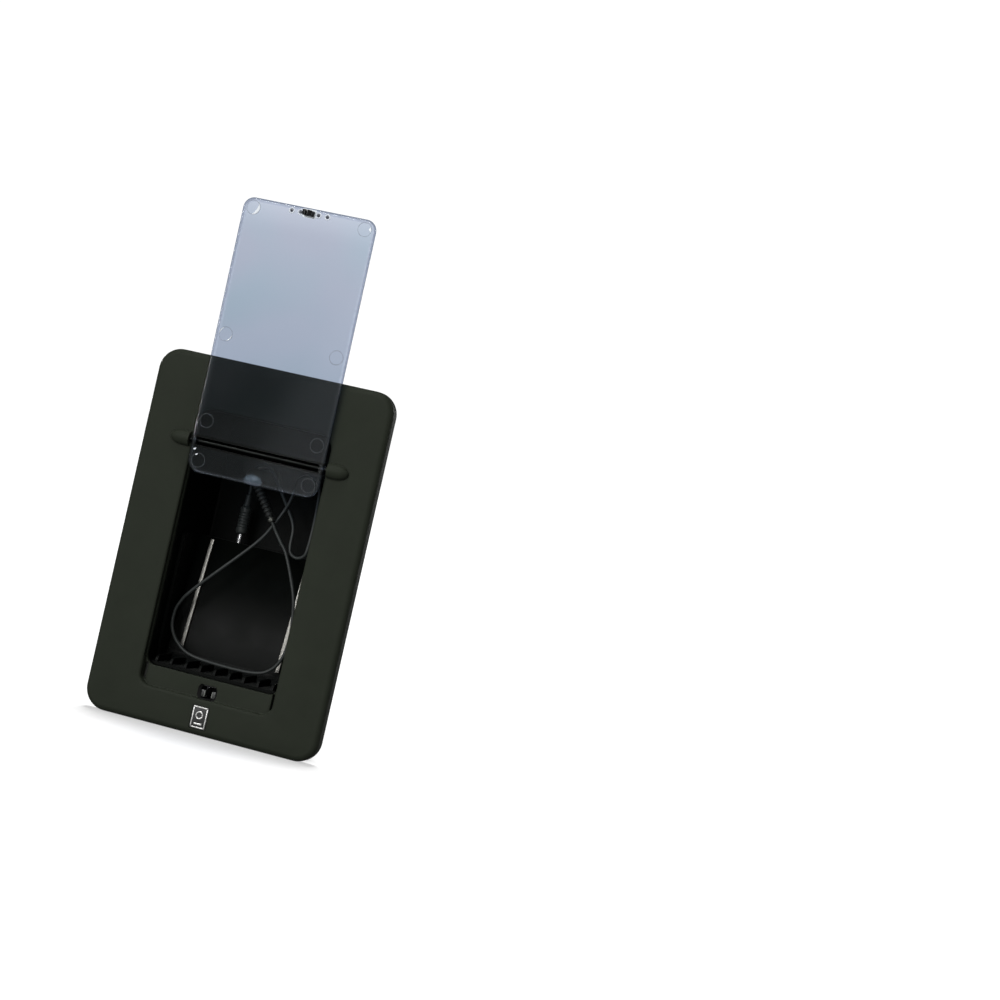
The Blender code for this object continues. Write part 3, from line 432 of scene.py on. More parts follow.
def loft(rings, around=False):
    """A skin through rings of as many points each, with flat ends or closed to the first ring."""
    bm = bmesh.new()
    loops = [[bm.verts.new(p) for p in ring] for ring in rings]
    for a, b in zip(loops, loops[1:] + loops[:1] if around else loops[1:]):
        for i in range(len(a)):
            j = (i + 1) % len(a)
            bm.faces.new((a[i], a[j], b[j], b[i]))
    if not around:
        bm.faces.new(loops[0])
        bm.faces.new(reversed(loops[-1]))
    return mesh_of(bm)


def upright(outline, y):
    return [(x, y, z) for x, z in outline]


def edge_rings(outline_at, front, back, front_round=0.0, back_round=0.0, steps=5):
    """Rings of a slab between two Y planes. A round below 0 flares out instead of in."""
    ends = []
    for start, size, way in ((front, front_round, 1), (back, back_round, -1)):
        rings = []
        for i in range(steps + 1 if size else 1):
            a = radians(90 * i / steps)
            y = start + way * abs(size) * (1 - cos(a))
            rings.append(upright(outline_at(-size * (1 - sin(a))), y))
        ends.append(rings)
    return ends[0] + ends[1][::-1]


def box_piece(low, high, width=0.0002, segments=3):
    """A box with rounded edges."""
    bm = bmesh.new()
    bmesh.ops.create_cube(bm, size=1.0)
    low, high = Vector(low), Vector(high)
    bmesh.ops.transform(bm, matrix=Matrix.Diagonal((*(high - low), 1)), verts=bm.verts)
    bmesh.ops.translate(bm, vec=(low + high) / 2, verts=bm.verts)
    if width:
        geom = bm.edges[:] + bm.verts[:]
        bmesh.ops.bevel(
            bm, geom=geom, offset=width, segments=segments, profile=0.5, affect="EDGES"
        )
    return mesh_of(bm)


def lathe(profile, place=None, steps=40):
    """A profile of (radius, height) pairs turned about +Z into a closed skin."""
    bm = bmesh.new()
    rings = []
    for radius, height in profile:
        if radius < 1e-7:
            rings.append([bm.verts.new((0, 0, height))])
            continue
        turns = [2 * pi * i / steps for i in range(steps)]
        rings.append([bm.verts.new((radius * cos(a), radius * sin(a), height)) for a in turns])
    for a, b in zip(rings, rings[1:]):
        for i in range(steps):
            j = (i + 1) % steps
            corners = [a[i % len(a)], a[j % len(a)], b[j % len(b)], b[i % len(b)]]
            unique = list(dict.fromkeys(corners))
            if len(unique) > 2:
                bm.faces.new(unique)
    for ring in (rings[0], rings[-1]):
        if len(ring) > 1:
            bm.faces.new(ring)
    obj = mesh_of(bm)
    if place:
        obj.data.transform(place)
    return obj


def pointing(spot, direction):
    return Matrix.Translation(spot) @ Vector(direction).to_track_quat("Z", "Y").to_matrix().to_4x4()


def filleted(corners, radius, steps=4):
    """A profile with its inner corners rounded."""
    points = [corners[0]]
    for a, b, c in zip(corners, corners[1:], corners[2:]):
        a, b, c = Vector(a), Vector(b), Vector(c)
        reach = min(radius, (a - b).length * 0.45, (c - b).length * 0.45)
        start, end = b + (a - b).normalized() * reach, b + (c - b).normalized() * reach
        for i in range(steps + 1):
            t = i / steps
            points.append(tuple(start * (1 - t) ** 2 + b * 2 * t * (1 - t) + end * t**2))
    return points + [corners[-1]]


def cylinder(spot, direction, radius, low, high, steps=40, chamfer=0.0):
    """A rod from low to high along a direction through a spot."""
    profile = [(0, high), (radius, high), (radius, low), (0, low)]
    if chamfer:
        profile = [
            (0, high), (radius - chamfer, high), (radius, high - chamfer),
            (radius, low + chamfer), (radius - chamfer, low), (0, low),
        ]
    return lathe(profile, pointing(spot, direction), steps)


def carve(obj, others, operation="DIFFERENCE"):
    """Cuts or joins others, and removes them."""
    for other in others:
        step = obj.modifiers.new("carve", "BOOLEAN")
        step.operation = operation
        step.object = other
        step.solver = "EXACT"
    settle(obj)
    for other in others:
        bpy.data.objects.remove(other, do_unlink=True)
    return obj


def settle(obj):
    """Applies the object's modifiers."""
    bpy.context.view_layer.update()
    graph = bpy.context.evaluated_depsgraph_get()
    mesh = bpy.data.meshes.new_from_object(obj.evaluated_get(graph))
    obj.modifiers.clear()
    old = obj.data
    obj.data = mesh
    bpy.data.meshes.remove(old)
    return obj


def joined(objects):
    """Several meshes as one object."""
    bm = bmesh.new()
    for obj in objects:
        obj.data.transform(obj.matrix_world)
        bm.from_mesh(obj.data)
        bpy.data.objects.remove(obj, do_unlink=True)
    return mesh_of(bm)


def turned_ring(section, place, steps=48):
    """A closed section of (radius, height) pairs turned about +Z into a ring."""
    turns = [2 * pi * i / steps for i in range(steps)]
    ring = loft([[(r * cos(a), r * sin(a), h) for r, h in section] for a in turns], True)
    ring.data.transform(place)
    return ring


def torus(place, ring_radius, wire_radius, steps=40, sides=10):
    turns = [2 * pi * k / sides for k in range(sides)]
    section = [(ring_radius + wire_radius * cos(b), wire_radius * sin(b)) for b in turns]
    return turned_ring(section, place, steps)


# ---- lead

# The route from the ferrule to the plug, as (across, height, depth behind the face) in mm.
LEAD_ROUTE = [
    (13.4, 9.2, 26.8), (19.0, 3.0, 24.6), (28.4, -15.0, 20.6),
    (31.4, -27.0, 19.8), (32.6, -39.0, 19.5), (31.2, -49.4, 19.4),
    (26.5, -57.2, 19.2), (18.0, -61.2, 18.8), (-1.0, -61.8, 18.6),
    (-19.0, -60.4, 18.8), (-27.6, -56.0, 19.0), (-32.6, -49.5, 19.0),
    (-33.8, -42.5, 19.0), (-32.4, -35.0, 19.2), (-25.5, -24.5, 20.2),
    (-1.0, 4.6, 26.6), (6.0, 17.0, 30.0), (10.8, 29.0, 32.2),
    (13.2, 39.6, 33.0), (15.6, 45.6, 33.0), (20.0, 47.4, 32.8),
    (24.6, 45.0, 32.6), (26.8, 38.0, 32.2), (28.8, 23.2, 28.4),
    (29.0, 8.6, 26.4), (27.5, 4.6, 26.6), (23.7, 3.0, 27.2),
    (19.9, 4.6, 27.8), (18.4, 8.6, 28.6), (16.8, 19.0, 31.0),
    (9.6, 28.8, 34.2), (-3.6, 44.0, 39.6), (-9.4, 47.4, 41.2),
    (-15.0, 45.0, 42.4), (-16.6, 39.4, 43.2), (-15.9, 34.2, 43.5),
]
LEAD_EXIT = GLAND + RELIEF_AIM * (RELIEF_END + FERRULE_LENGTH + 2 * GAP)


def lead_route():
    start = [LEAD_EXIT + RELIEF_AIM * reach for reach in (0, 0.003, 0.006)]
    middle = [Vector((a * MM, FACE_Y + d * MM, h * MM)) for a, h, d in LEAD_ROUTE]
    return start + middle + [PLUG + Vector((0, 0, GAP))]


def curve_through(route, steps=8):
    """A Catmull-Rom curve through the route's points."""
    ends = [route[0] * 2 - route[1]] + route + [route[-1] * 2 - route[-2]]
    points = []
    for a, b, c, d in zip(ends, ends[1:], ends[2:], ends[3:]):
        square = 2 * a - 5 * b + 4 * c - d
        cube = 3 * b - 3 * c + d - a
        for i in range(steps):
            t = i / steps
            points.append(0.5 * (2 * b + (c - a) * t + square * t**2 + cube * t**3))
    return points + [route[-1]]


def wire(name, points, radius, resolution=5):
    data = bpy.data.curves.new(name, "CURVE")
    data.dimensions = "3D"
    data.bevel_depth = radius
    data.bevel_resolution = resolution
    data.use_fill_caps = True
    spline = data.splines.new("POLY")
    spline.points.add(len(points) - 1)
    for spot, point in zip(spline.points, points):
        spot.co = (*point, 1)
    spline.use_smooth = True
    return new_object(name, data)


def make_lead():
    lead = wire("audio_lead_cable", curve_through(lead_route()), LEAD_RADIUS)
    return place_piece(lead, "audio_lead_cable", "lead_jacket", node="audio_lead")


def make_strain_relief():
    """The tapered boot: ribs with rounded lands, and a plain cuff at its root."""
    ribs = 7
    core, root = 0.0016, 0.0027
    step = (RELIEF_END - RELIEF_START - 0.003) / ribs
    profile = [(0, RELIEF_END), (core, RELIEF_END)]
    for k in range(ribs):
        top = RELIEF_END - 0.001 - k * step
        rib = 0.00218 + 0.00045 * k / ribs
        profile += [(core, top), (rib, top - step * 0.18)]
        profile += [(rib, top - step * 0.62), (core, top - step * 0.8)]
    profile += [(root, RELIEF_START + 0.0016), (root, RELIEF_START), (0, RELIEF_START)]
    boot = lathe(filleted(profile, 0.0003), pointing(GLAND, RELIEF_AIM))
    place_piece(smooth(boot, 60), "strain_relief_boot", "rubber", node="lead_strain_relief")
    low, high = RELIEF_END + GAP, RELIEF_END + GAP + FERRULE_LENGTH
    ring = filleted([(0, high), (0.0017, high), (0.0022, low), (0, low)], 0.0002)
    ferrule = lathe(ring, pointing(GLAND, RELIEF_AIM))
    smooth(ferrule, 60)
    place_piece(ferrule, "ferrule_ring", "badge_silver", "ferrule_nickel", "lead_ferrule")
    return [boot, ferrule]


def make_plug():
    """The plug hangs down: a moulded body with grip grooves, and a banded contact."""
    place = pointing(PLUG, (0, 0, -1))
    radius, groove = 0.0031, 0.00285
    body = [(0, 0.0215), (0.0026, 0.0215), (radius, 0.0205)]
    for k in range(6):
        top = 0.0185 - k * 0.0016
        body += [(radius, top), (groove, top - 0.0003)]
        body += [(groove, top - 0.0006), (radius, top - 0.0009)]
    body += [(radius, 0.0075), (0.0022, 0.0062), (0.0018, 0.0050), (0.0016, 0.0), (0, 0)]
    grip = lathe(filleted(body, 0.0002), place)
    place_piece(smooth(grip, 60), "plug_body", "lead_jacket", node="lead_plug")
    pin = [
        (0, 0.0358), (0.0007, 0.0356), (0.0011, 0.0350), (0.0016, 0.0342), (0.00155, 0.0336),
        (0.00115, 0.0328), (0.0014, 0.0323), (0.0017, 0.0318), (0.0017, 0.0218), (0, 0.0218),
    ]
    contact = lathe(filleted(pin, 0.0002), place)
    place_piece(smooth(contact, 60), "plug_pin", "steel", node="plug_contact")
    bands = []
    for height in (0.0317, 0.0287):
        bands.append(torus(place @ Matrix.Translation((0, 0, height)), 0.00168, 0.00012, 40, 8))
    rings = place_piece(smooth(joined(bands), 60), "plug_insulators", "steel", "insulator")
    return [grip, contact, rings]


def declare_lead():
    lead = make_lead()
    pieces = make_strain_relief() + make_plug()


# ---- bezel


def boss(side):
    """The bullet-shaped bump over one end of the hinge rod."""
    shoulder, tip, radius = 0.0435 - BOSS_ROOT, 0.0505 - BOSS_ROOT, 0.004
    turns = [radians(a) for a in range(80, 0, -8)]
    ogive = [(radius * cos(a), shoulder + (tip - shoulder) * sin(a)) for a in turns]
    profile = [(0, tip)] + ogive + [(radius, shoulder), (radius, 0), (0, 0)]
    return lathe(profile, pointing((side * BOSS_ROOT, HINGE.y, HINGE.z), (side, 0, 0)), 56)


def latch_pocket():
    """The outline of the latch's mouth: half an octagon, and the same turned half round."""
    half, wide, point = CAGE_HALF_HEIGHT, 0.004, 0.0009
    side = half - 0.0016
    first = [(wide, -side), (wide, side), (wide - point, half), (-wide + point, half)]
    return [(sign * x, LATCH_Z + sign * z) for sign in (1, -1) for x, z in first]


def end_slot(side):
    """The narrow slot between one end of the ledge and the recess's side wall."""
    inner, outer, foot = OPENING_HALF - 0.0019, OPENING_HALF - 0.0001, LEDGE_Y + 0.0022
    low, top, flare = RECESS_LOW + RECESS_CORNER * 0.45, LEDGE_TOP + 0.001, 0.0007
    rings = []
    for i in range(7):
        a = radians(90 * i / 6)
        left = inner - flare * (1 - sin(a))
        y = LEDGE_Y - 0.0001 + (flare + 0.0001) * (1 - cos(a))
        corners = [(left, low), (outer, low + 0.0008), (outer, top), (left, top)]
        rings.append([(side * x, y, z) for x, z in corners])
    rings.append([(x, foot, z) for x, y, z in rings[-1]])
    return loft(rings)


def latch_funnel():
    """The latch pocket, widening towards the ledge's surface."""
    wide = [(x * 1.36, LATCH_Z + (z - LATCH_Z) * 1.12) for x, z in latch_pocket()]
    mouth, neck = LEDGE_Y + 0.0001, LEDGE_Y + 0.0016
    rings = [upright(wide, FACE_Y), upright(wide, mouth)]
    return loft(rings + [upright(latch_pocket(), neck), upright(latch_pocket(), REACH)])


def make_bezel():
    """The bezel, with a full front fillet and softened edges round its recess."""
    lip, crest = 0.0015, 0.0004
    bezel = loft(edge_rings(bezel_at, FACE_Y, 0, BEZEL_FILLET, 0.0003, 10))
    carve(bezel, [boss(-1), boss(1)], "UNION")
    recess = edge_rings(recess_at, FACE_Y, LEDGE_Y, -lip, 0.0005, 7)
    recess = [upright(recess_at(lip), FACE_Y - REACH)] + recess
    cavity = edge_rings(cavity_at, LEDGE_Y, REACH, -crest)
    cavity = [upright(cavity_at(crest), FACE_Y - REACH)] + cavity
    pocket = [upright(flange_at(0.0005), y) for y in (-FLANGE_THICKNESS - GAP, REACH)]
    low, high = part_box("badge")
    badge_low = (low.x - GAP, FACE_Y - REACH, low.z - GAP)
    badge_high = (high.x + GAP, FACE_Y + 0.0005, high.z + GAP)
    cuts = [
        loft(recess),
        loft(cavity),
        latch_funnel(),
        loft(pocket),
        box_piece(badge_low, badge_high, 0),
    ]
    for side in (-1, 1):
        low, high = sorted((side * BOSS_ROOT, side * (ROD_HIGH.x + 0.0004)))
        slot_low = (low, HINGE.y, HINGE.z - BORE_RADIUS)
        cuts.append(box_piece(slot_low, (high, REACH, HINGE.z + BORE_RADIUS), 0))
        cuts.append(cylinder((0, HINGE.y, HINGE.z), RIGHT, BORE_RADIUS, low, high, 32))
        cuts.append(end_slot(side))
    for x, z in STUD_SPOTS:
        cuts.append(cylinder((x, 0, z), BACK, STUD_HOLE, FACE_Y + 0.004, REACH, 24))
    for x, z in TUB_SCREWS + EAR_SCREWS:
        cuts.append(cylinder((x, 0, z), BACK, SCREW_HOLE, -0.0062, REACH, 20))
    carve(bezel, cuts + [gasket_ring(0.004, 0.003, -0.0018, REACH)])
    place_piece(smooth(bezel, 30), "bezel_shell", "bezel_plastic", node="bezel")

    def in_funnel(middle):
        near = abs(middle.x) < 0.0056 and abs(middle.z - LATCH_Z) < 0.0041
        return near and middle.y > LEDGE_Y + 0.00005

    # The funnel's walls belong to the bezel but are drawn in near-black latch_black: painted shade
    # in the latch pocket.
    finish_part(bezel, "latch_black", in_funnel)


def gasket_ring(inset, width, front, back, round_by=0.0):
    """A rounded rectangular ring inside the bezel's rim."""
    section = [(-width, front), (0, front), (0, back), (-width, back)]
    if round_by:
        section[2:] = [
            (0, back - round_by), (-round_by, back),
            (-width + round_by, back), (-width, back - round_by),
        ]
    return loft([upright(bezel_at(by - inset), y) for by, y in section], True)


def make_gasket():
    ring = gasket_ring(0.0043, 0.0024, -0.0015, 0.0, 0.0005)
    place_piece(smooth(ring, 50), "gasket_ring", "rubber", node="panel_gasket")


def make_badge():
    """A bordered plate with a plain ring and bar, all of it generic."""
    low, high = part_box("badge")
    middle = (low.z + high.z) / 2
    plate = smooth(box_piece(low, high, 0.00008), 40)
    place_piece(plate, "badge_plate", "badge_silver", "badge_dark", node="badge")
    front = low.y - 0.00015
    line = 0.0007
    half, tall = high.x - 0.0004, (high.z - low.z) / 2 - 0.0003
    marks = []
    for left, foot, right, head in (
        (-half, -tall, half, -tall + line),
        (-half, tall - line, half, tall),
        (-half, -tall, -half + line, tall),
        (half - line, -tall, half, tall),
        (-0.0022, -0.0039, 0.0022, -0.0030),
    ):
        corner = (right, low.y + 0.0001, middle + head)
        marks.append(box_piece((left, front, middle + foot), corner, 0.0001))
    marks.append(torus(pointing((0, front + 0.0001, middle + 0.0012), (0, -1, 0)), 0.0018, 0.00045))
    place_piece(smooth(joined(marks), 40), "badge_border", "badge_silver")


# ---- tub


def make_tub():
    """The deep tub with its screw flange, rounded outside at the back."""
    tub = loft(edge_rings(flange_at, -FLANGE_THICKNESS, 0, 0, 0.0003))

    def shell_at(by):
        return cavity_at(WALL + by)

    shell = loft(edge_rings(shell_at, -FLANGE_THICKNESS / 2, TUB_BACK + WALL, 0, 0.002, 6))
    carve(tub, [shell], "UNION")
    half, height = 0.0078, CAGE_HALF_HEIGHT + 0.001 + GAP
    low, high = (-half, -REACH, LATCH_Z - height), (half, REACH, LEDGE_TOP - WALL - 0.0001)
    cuts = [
        loft(edge_rings(cavity_at, -REACH, TUB_BACK, 0, 0.0012, 5)),
        box_piece(low, high, 0),
        cylinder((GLAND.x, 0, GLAND.z), BACK, 0.0043, TUB_BACK - REACH, TUB_BACK + REACH, 40),
        cylinder((PEG_X, 0, PEG_Z), BACK, SCREW_HOLE, TUB_BACK - REACH, TUB_BACK + REACH, 24),
    ]
    for x, z in TUB_SCREWS + EAR_SCREWS:
        cuts.append(cylinder((x, 0, z), BACK, SCREW_HOLE, -REACH, REACH, 24))
    for side in (-1, 1):
        spot = (side * CRADLE_SCREW_X, CRADLE_SCREW_Y, 0)
        cuts.append(cylinder(spot, UP, SCREW_HOLE, LEDGE_TOP - REACH, LEDGE_TOP + REACH, 24))
    carve(tub, cuts)
    place_piece(smooth(tub, 30), "tub_shell", "tub_plastic", node="tub")

    def outside(middle):
        edge = WALL * 0.5
        beyond = abs(middle.x) > OPENING_HALF + edge or middle.y > TUB_BACK + edge
        return beyond or middle.z > OPENING_TOP + edge or middle.z < LEDGE_TOP - edge

    # Only the outside keeps the moulding's tone; the inside stays in the darker tub_plastic,
    # painted shade for the cavity.
    finish_part(tub, "tub_outside", outside)


# ---- hinge and door


def make_hinge():
    rod = cylinder(HINGE, RIGHT, ROD_RADIUS, ROD_LOW.x, ROD_HIGH.x, 48, 0.0003)
    place_piece(smooth(rod), "hinge_rod_shaft", "black_steel", node="hinge_rod")
    for side in ("left", "right"):
        node = "hinge_keeper_" + side
        keeper = box_piece(*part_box(node), 0.00025)
        place_piece(smooth(keeper), node + "_block", "tub_plastic", node=node)


def swing(obj):
    """Takes a piece from the closed door's own frame, about the hinge, to its open place."""
    obj.data.transform(Matrix.Translation(HINGE) @ Matrix.Rotation(-OPEN_ANGLE, 4, "X"))
    return obj


def rim_distance(spot):
    """How far inside the closed door's outline a place lies, in the door's own frame."""
    centre, reach = (TAB_REACH - DOOR_REACH) / 2, (TAB_REACH + DOOR_REACH) / 2
    corner = TAB_CORNER if spot.z > centre else DOOR_CORNER
    across = abs(spot.x) - (DOOR_HALF - corner)
    along = abs(spot.z - centre) - (reach - corner)
    if across > 0 and along > 0:
        return corner - hypot(across, along)
    return corner - max(across, along)


def on_barrel(spot):
    """True for a place on the hinge barrel's outside, away from where it runs into the pane."""
    return abs(hypot(spot.y, spot.z) - BARREL_RADIUS) < CLOSE and abs(spot.z) < 0.003


def in_channel(spot):
    """True for a place on the walls of the door's rod channel and its slot."""
    inside = abs(spot.x) < CHANNEL_HALF + 0.0002 and abs(spot.z) < CHANNEL_RADIUS + 0.0001
    return inside and (spot.y > 0 or hypot(spot.y, spot.z) < CHANNEL_RADIUS + 0.0002)


def in_scoop(spot):
    """True for a place on the surface of the thumb scoop."""
    away = spot - SCOOP
    return abs(Vector((away.x, away.y, away.z / SCOOP_SQUASH)).length - SCOOP_RADIUS) < 2 * CLOSE


def make_door():
    """The smoked door: softened edges, hinge barrel with its rod channel, and thumb scoop."""
    rim = [upright(door_at(-RIM_HIGHLIGHT_BAND), y) for y in (DOOR_OUTER, DOOR_INNER)]
    skin = edge_rings(door_at, DOOR_OUTER, DOOR_INNER, RIM_ROUND, RIM_ROUND, 6)
    door = loft(rim[:1] + skin + rim[1:])
    axis = Vector((0, 0, 0))
    barrel = cylinder(axis, RIGHT, BARREL_RADIUS, -DOOR_HALF, DOOR_HALF, 64, 0.0004)
    carve(door, [barrel], "UNION")
    scoop = bmesh.new()
    bmesh.ops.create_uvsphere(scoop, u_segments=72, v_segments=48, radius=SCOOP_RADIUS)
    bmesh.ops.scale(scoop, vec=(1, 1, SCOOP_SQUASH), verts=scoop.verts)
    bmesh.ops.translate(scoop, vec=SCOOP, verts=scoop.verts)
    channel = arc((0, 0), CHANNEL_RADIUS, 90, 270, 24)
    channel += [(0.01, -CHANNEL_RADIUS), (0.01, CHANNEL_RADIUS)]
    cuts = [
        loft([[(x, y, z) for y, z in channel] for x in (-CHANNEL_HALF, CHANNEL_HALF)]),
        cylinder(axis, RIGHT, BORE_RADIUS, -0.05, 0.05, 48),
        mesh_of(scoop),
        cylinder((0, 0, LATCH_Z - HINGE.z), BACK, 0.0013, 0, 0.01, 32),
    ]
    carve(door, cuts)
    door.data.materials.clear()
    place_piece(smooth(door, 30), "door_pane", "smoked_clear", node="door_panel", body="door")
    for face in door.data.polygons:
        face.use_smooth = abs(face.normal.y) < 0.9999
    # A paler band inside the door's rounded edge: painted highlight.
    finish_part(door, "smoked_edge_highlight", lambda middle: RIM_SHADE_WIDTH < rim_distance(middle) < RIM_HIGHLIGHT_BAND)
    # The outermost rim is tinted darker: painted shade.
    finish_part(door, "smoked_rim_shade", lambda middle: rim_distance(middle) < RIM_SHADE_WIDTH)
    # The rod channel's walls are near-black: painted shade.
    finish_part(door, "smoked_channel_shade", in_channel)
    # The barrel's outside is tinted dark: painted shade.
    finish_part(door, "smoked_barrel_shade", on_barrel, True)
    # The scoop's ground surface is drawn pale: painted highlight.
    finish_part(door, "smoked_ground_highlight", in_scoop, True)
    swing(door)
    make_door_marks()


def painted_glint_crescent(side, height, aim, radius, reach, width):
    """A painted highlight: a pale crescent on the inside of a ring mark, thickest at its middle."""
    steps = [i / 12 for i in range(-12, 13)]
    turns = [radians(aim + reach * t) for t in steps]
    depths = [radius - width * (1 - t * t) - 0.00002 for t in steps]
    outer = [(radius * cos(a), radius * sin(a)) for a in turns]
    inner = [(d * cos(a), d * sin(a)) for d, a in zip(depths, turns)]
    edge = [(side * MARK_X + x, z - height) for x, z in outer + inner[::-1]]
    return loft([upright(edge, DOOR_INNER - 0.00005), upright(edge, DOOR_INNER + 0.0002)])


def make_door_marks():
    """Ejector rings in pairs along the door, and five dark dots by the hook.

    The photograph's highlights on them are built as pale facets, rings and a pad.
    """
    beads = []
    for height in (TOP_MARK, MIDDLE_MARK, 0.0113, TAB_MARK):
        for side in (-1, 1):
            spot = (side * MARK_X, DOOR_INNER, -height)
            beads.append(torus(pointing(spot, BACK), MARK_RADIUS, 0.00028, 56, 8))
    # A pale pad by the hook and pale halos round the dots: painted highlights.
    low, high = (-0.0036, DOOR_INNER - 0.0001, -0.1307), (0.0036, DOOR_INNER + 0.0001, -0.1262)
    glint_pieces = [box_piece(low, high, 0)]
    dots = []
    for k in range(5):
        spot = ((k - 2) * 0.005, DOOR_INNER, DOT_Z)
        dome = filleted([(0, 0.0003), (0.0007, 0.00025), (0.00095, 0.0), (0, 0)], 0.00015)
        dots.append(lathe(dome, pointing(spot, BACK), 24))
        glint_pieces.append(torus(pointing(spot, BACK), 0.00135, 0.00025, 32, 8))
    # The raised rings are drawn clearer and paler than the door: painted highlight.
    rings = smooth(swing(joined(beads)), 60)
    place_piece(rings, "door_ejector_rings", "smoked_clear", "smoked_ring_highlight", body="door")
    dots = smooth(swing(joined(dots)), 50)
    place_piece(dots, "door_dots", "smoked_clear", "smoked_dark", body="door")
    # Pale crescents inside the ring marks: painted highlights.
    glint_pieces += [
        painted_glint_crescent(-1, TOP_MARK, 26, 0.0037, 66, 0.0016),
        painted_glint_crescent(1, TOP_MARK, -8, 0.0036, 22, 0.0012),
        painted_glint_crescent(-1, MIDDLE_MARK, -150, 0.0036, 38, 0.0003),
        painted_glint_crescent(-1, MIDDLE_MARK, 38, 0.0036, 42, 0.0003),
        painted_glint_crescent(-1, TAB_MARK, -119, 0.0068, 8, 0.0009),
        painted_glint_crescent(-1, TAB_MARK, -118, 0.0036, 14, 0.0006),
    ]
    glint_pieces = swing(joined(glint_pieces))
    place_piece(glint_pieces, "door_ring_facets", "smoked_clear", "pale_highlight", body="door")


def make_latch_hook():
    """The striker: a base riveted to the door, a neck and an arrow head."""
    base, neck, shoulder = DOOR_INNER + GAP, 0.0015, 0.0076
    right = [
        (0.0029, base), (0.0029, base + 0.0009), (neck, base + 0.0013), (neck, shoulder - 0.0003),
        (0.0026, shoulder), (0.0026, shoulder + 0.0004), (0.0009, shoulder + 0.0018),
    ]
    section = right + [(-x, y) for x, y in reversed(right)]
    middle = LATCH_Z - HINGE.z
    low, high = middle - 0.0014, middle + 0.0014
    hook = loft([[(x, y, z) for x, y in section] for z in (low, high)])
    slot_low = (-0.0004, base + 0.0013, low - 0.001)
    carve(hook, [box_piece(slot_low, (0.0004, shoulder + 0.003, high + 0.001), 0)])
    soften(hook, 0.00012)
    rivet = [(0, 0.0004), (0.001, 0.0002), (0.0011, 0.0), (0.001, -0.0028), (0, -0.0028)]
    place = pointing((0, DOOR_OUTER + 0.0005, middle), (0, -1, 0))
    head = lathe(filleted(rivet, 0.0002), place, 32)
    striker = smooth(swing(joined([hook, head])), 40)
    place_piece(striker, "striker_hook", "latch_black", node="latch_hook", body="door")


def soften(obj, width, segments=2, angle=30):
    """Rounds an object's sharp edges."""
    step = obj.modifiers.new("soften", "BEVEL")
    step.width = width
    step.segments = segments
    step.limit_method = "ANGLE"
    step.angle_limit = radians(angle)
    return settle(obj)


# ---- latch


def make_latch():
    """The latch's jaws, pins and springs, and the cage's finished look."""
    for side, word in ((-1, "left"), (1, "right")):
        node = "latch_jaw_" + word
        low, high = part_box(node)
        section = arc(JAW_PIVOT, 0.0018, 0, 180, 16) + [
            (0.0035, 0.0035), (0.0035, -0.0006), (0.0019, -0.0010), (0.0019, -0.0016),
            (0.0025, -0.0022), (0.0044, -0.0022), (0.0050, -0.0012), (0.0050, 0.0035),
        ]
        jaw = loft([[(side * x, y, z) for x, y in section] for z in (low.z, high.z)])
        spot = Vector((side * JAW_PIVOT[0], JAW_PIVOT[1], 0))
        carve(jaw, [cylinder(spot, UP, 0.0009, low.z - 0.01, high.z + 0.01, 24)])
        soften(jaw, 0.0002)
        body = "jaw_" + word
        place_piece(smooth(jaw, 40), node + "_arm", "jaw_acetal", node=node, body=body)
        pin_node = "latch_pin_" + word
        pin_low, pin_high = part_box(pin_node)
        pin = cylinder(spot, UP, 0.0006, pin_low.z, pin_high.z, 24, 0.00012)
        place_piece(smooth(pin), pin_node + "_shaft", "steel", node=pin_node)
        inner, outer = sorted((side * 0.00185, side * 0.0024))
        lip_low, lip_high = (inner, -0.0023, low.z + 0.0002), (outer, -0.0012, high.z - 0.0002)
        # Each jaw's lip is drawn paler: painted highlight.
        lip = smooth(box_piece(lip_low, lip_high, 0.0002), 40)
        place_piece(lip, node + "_lip", "jaw_acetal", "jaw_lip_highlight", body=body)
        node = "latch_spring_" + word
        low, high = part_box(node)
        gauge, radius, steps, turns = 0.0002, 0.00135, 24, 2.5
        count = int(turns * steps)
        rise = (high.z - low.z - 2 * gauge) / count
        coil = []
        for i in range(count + 1):
            a = 2 * pi * i / steps
            height = low.z + gauge + rise * i
            coil.append(Vector((spot.x + radius * cos(a), spot.y + radius * sin(a), height)))
        place_piece(wire("coil", coil, gauge, 3), node + "_coil", "steel", node=node)
    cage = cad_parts["latch_cage"].data
    cage.materials.clear()
    cage.materials.append(MATERIALS["latch_black"])


# ---- cradle


def make_cradle():
    """The cradle keeps its shape, with doubled points merged, flat splits dissolved and smooth
    shading.
    """
    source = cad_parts["player_cradle"]
    bm = bmesh.new()
    bm.from_mesh(source.data)
    bmesh.ops.remove_doubles(bm, verts=bm.verts, dist=1e-6)
    bmesh.ops.dissolve_limit(bm, angle_limit=radians(2), verts=bm.verts, edges=bm.edges)
    cradle = mesh_of(bm)
    place_piece(smooth(cradle, 30), "cradle_moulding", "tub_plastic", node="player_cradle")


def make_rails():
    """Two polished strips up the backrest."""
    foot, top = Vector((0, FACE_Y + 0.026, -0.0605)), Vector((0, FACE_Y + 0.0372, 0.003))
    up = (top - foot).normalized()
    out = Vector((0, -up.z, up.y))
    spot = foot + up * (0.0012 + RAIL_HALF.z) + out * (RAIL_HALF.y + GAP)
    turn = Matrix.Rotation(atan2(-up.y, up.z), 4, "X")
    for side, word in ((-1, "left"), (1, "right")):
        rail = box_piece(-RAIL_HALF, RAIL_HALF, 0.0004, 4)
        rail.data.transform(Matrix.Translation((side * RAIL_X, spot.y, spot.z)) @ turn)
        node = "cradle_rail_" + word
        place_piece(smooth(rail), node + "_strip", "polished", node=node)


# ---- gland and peg


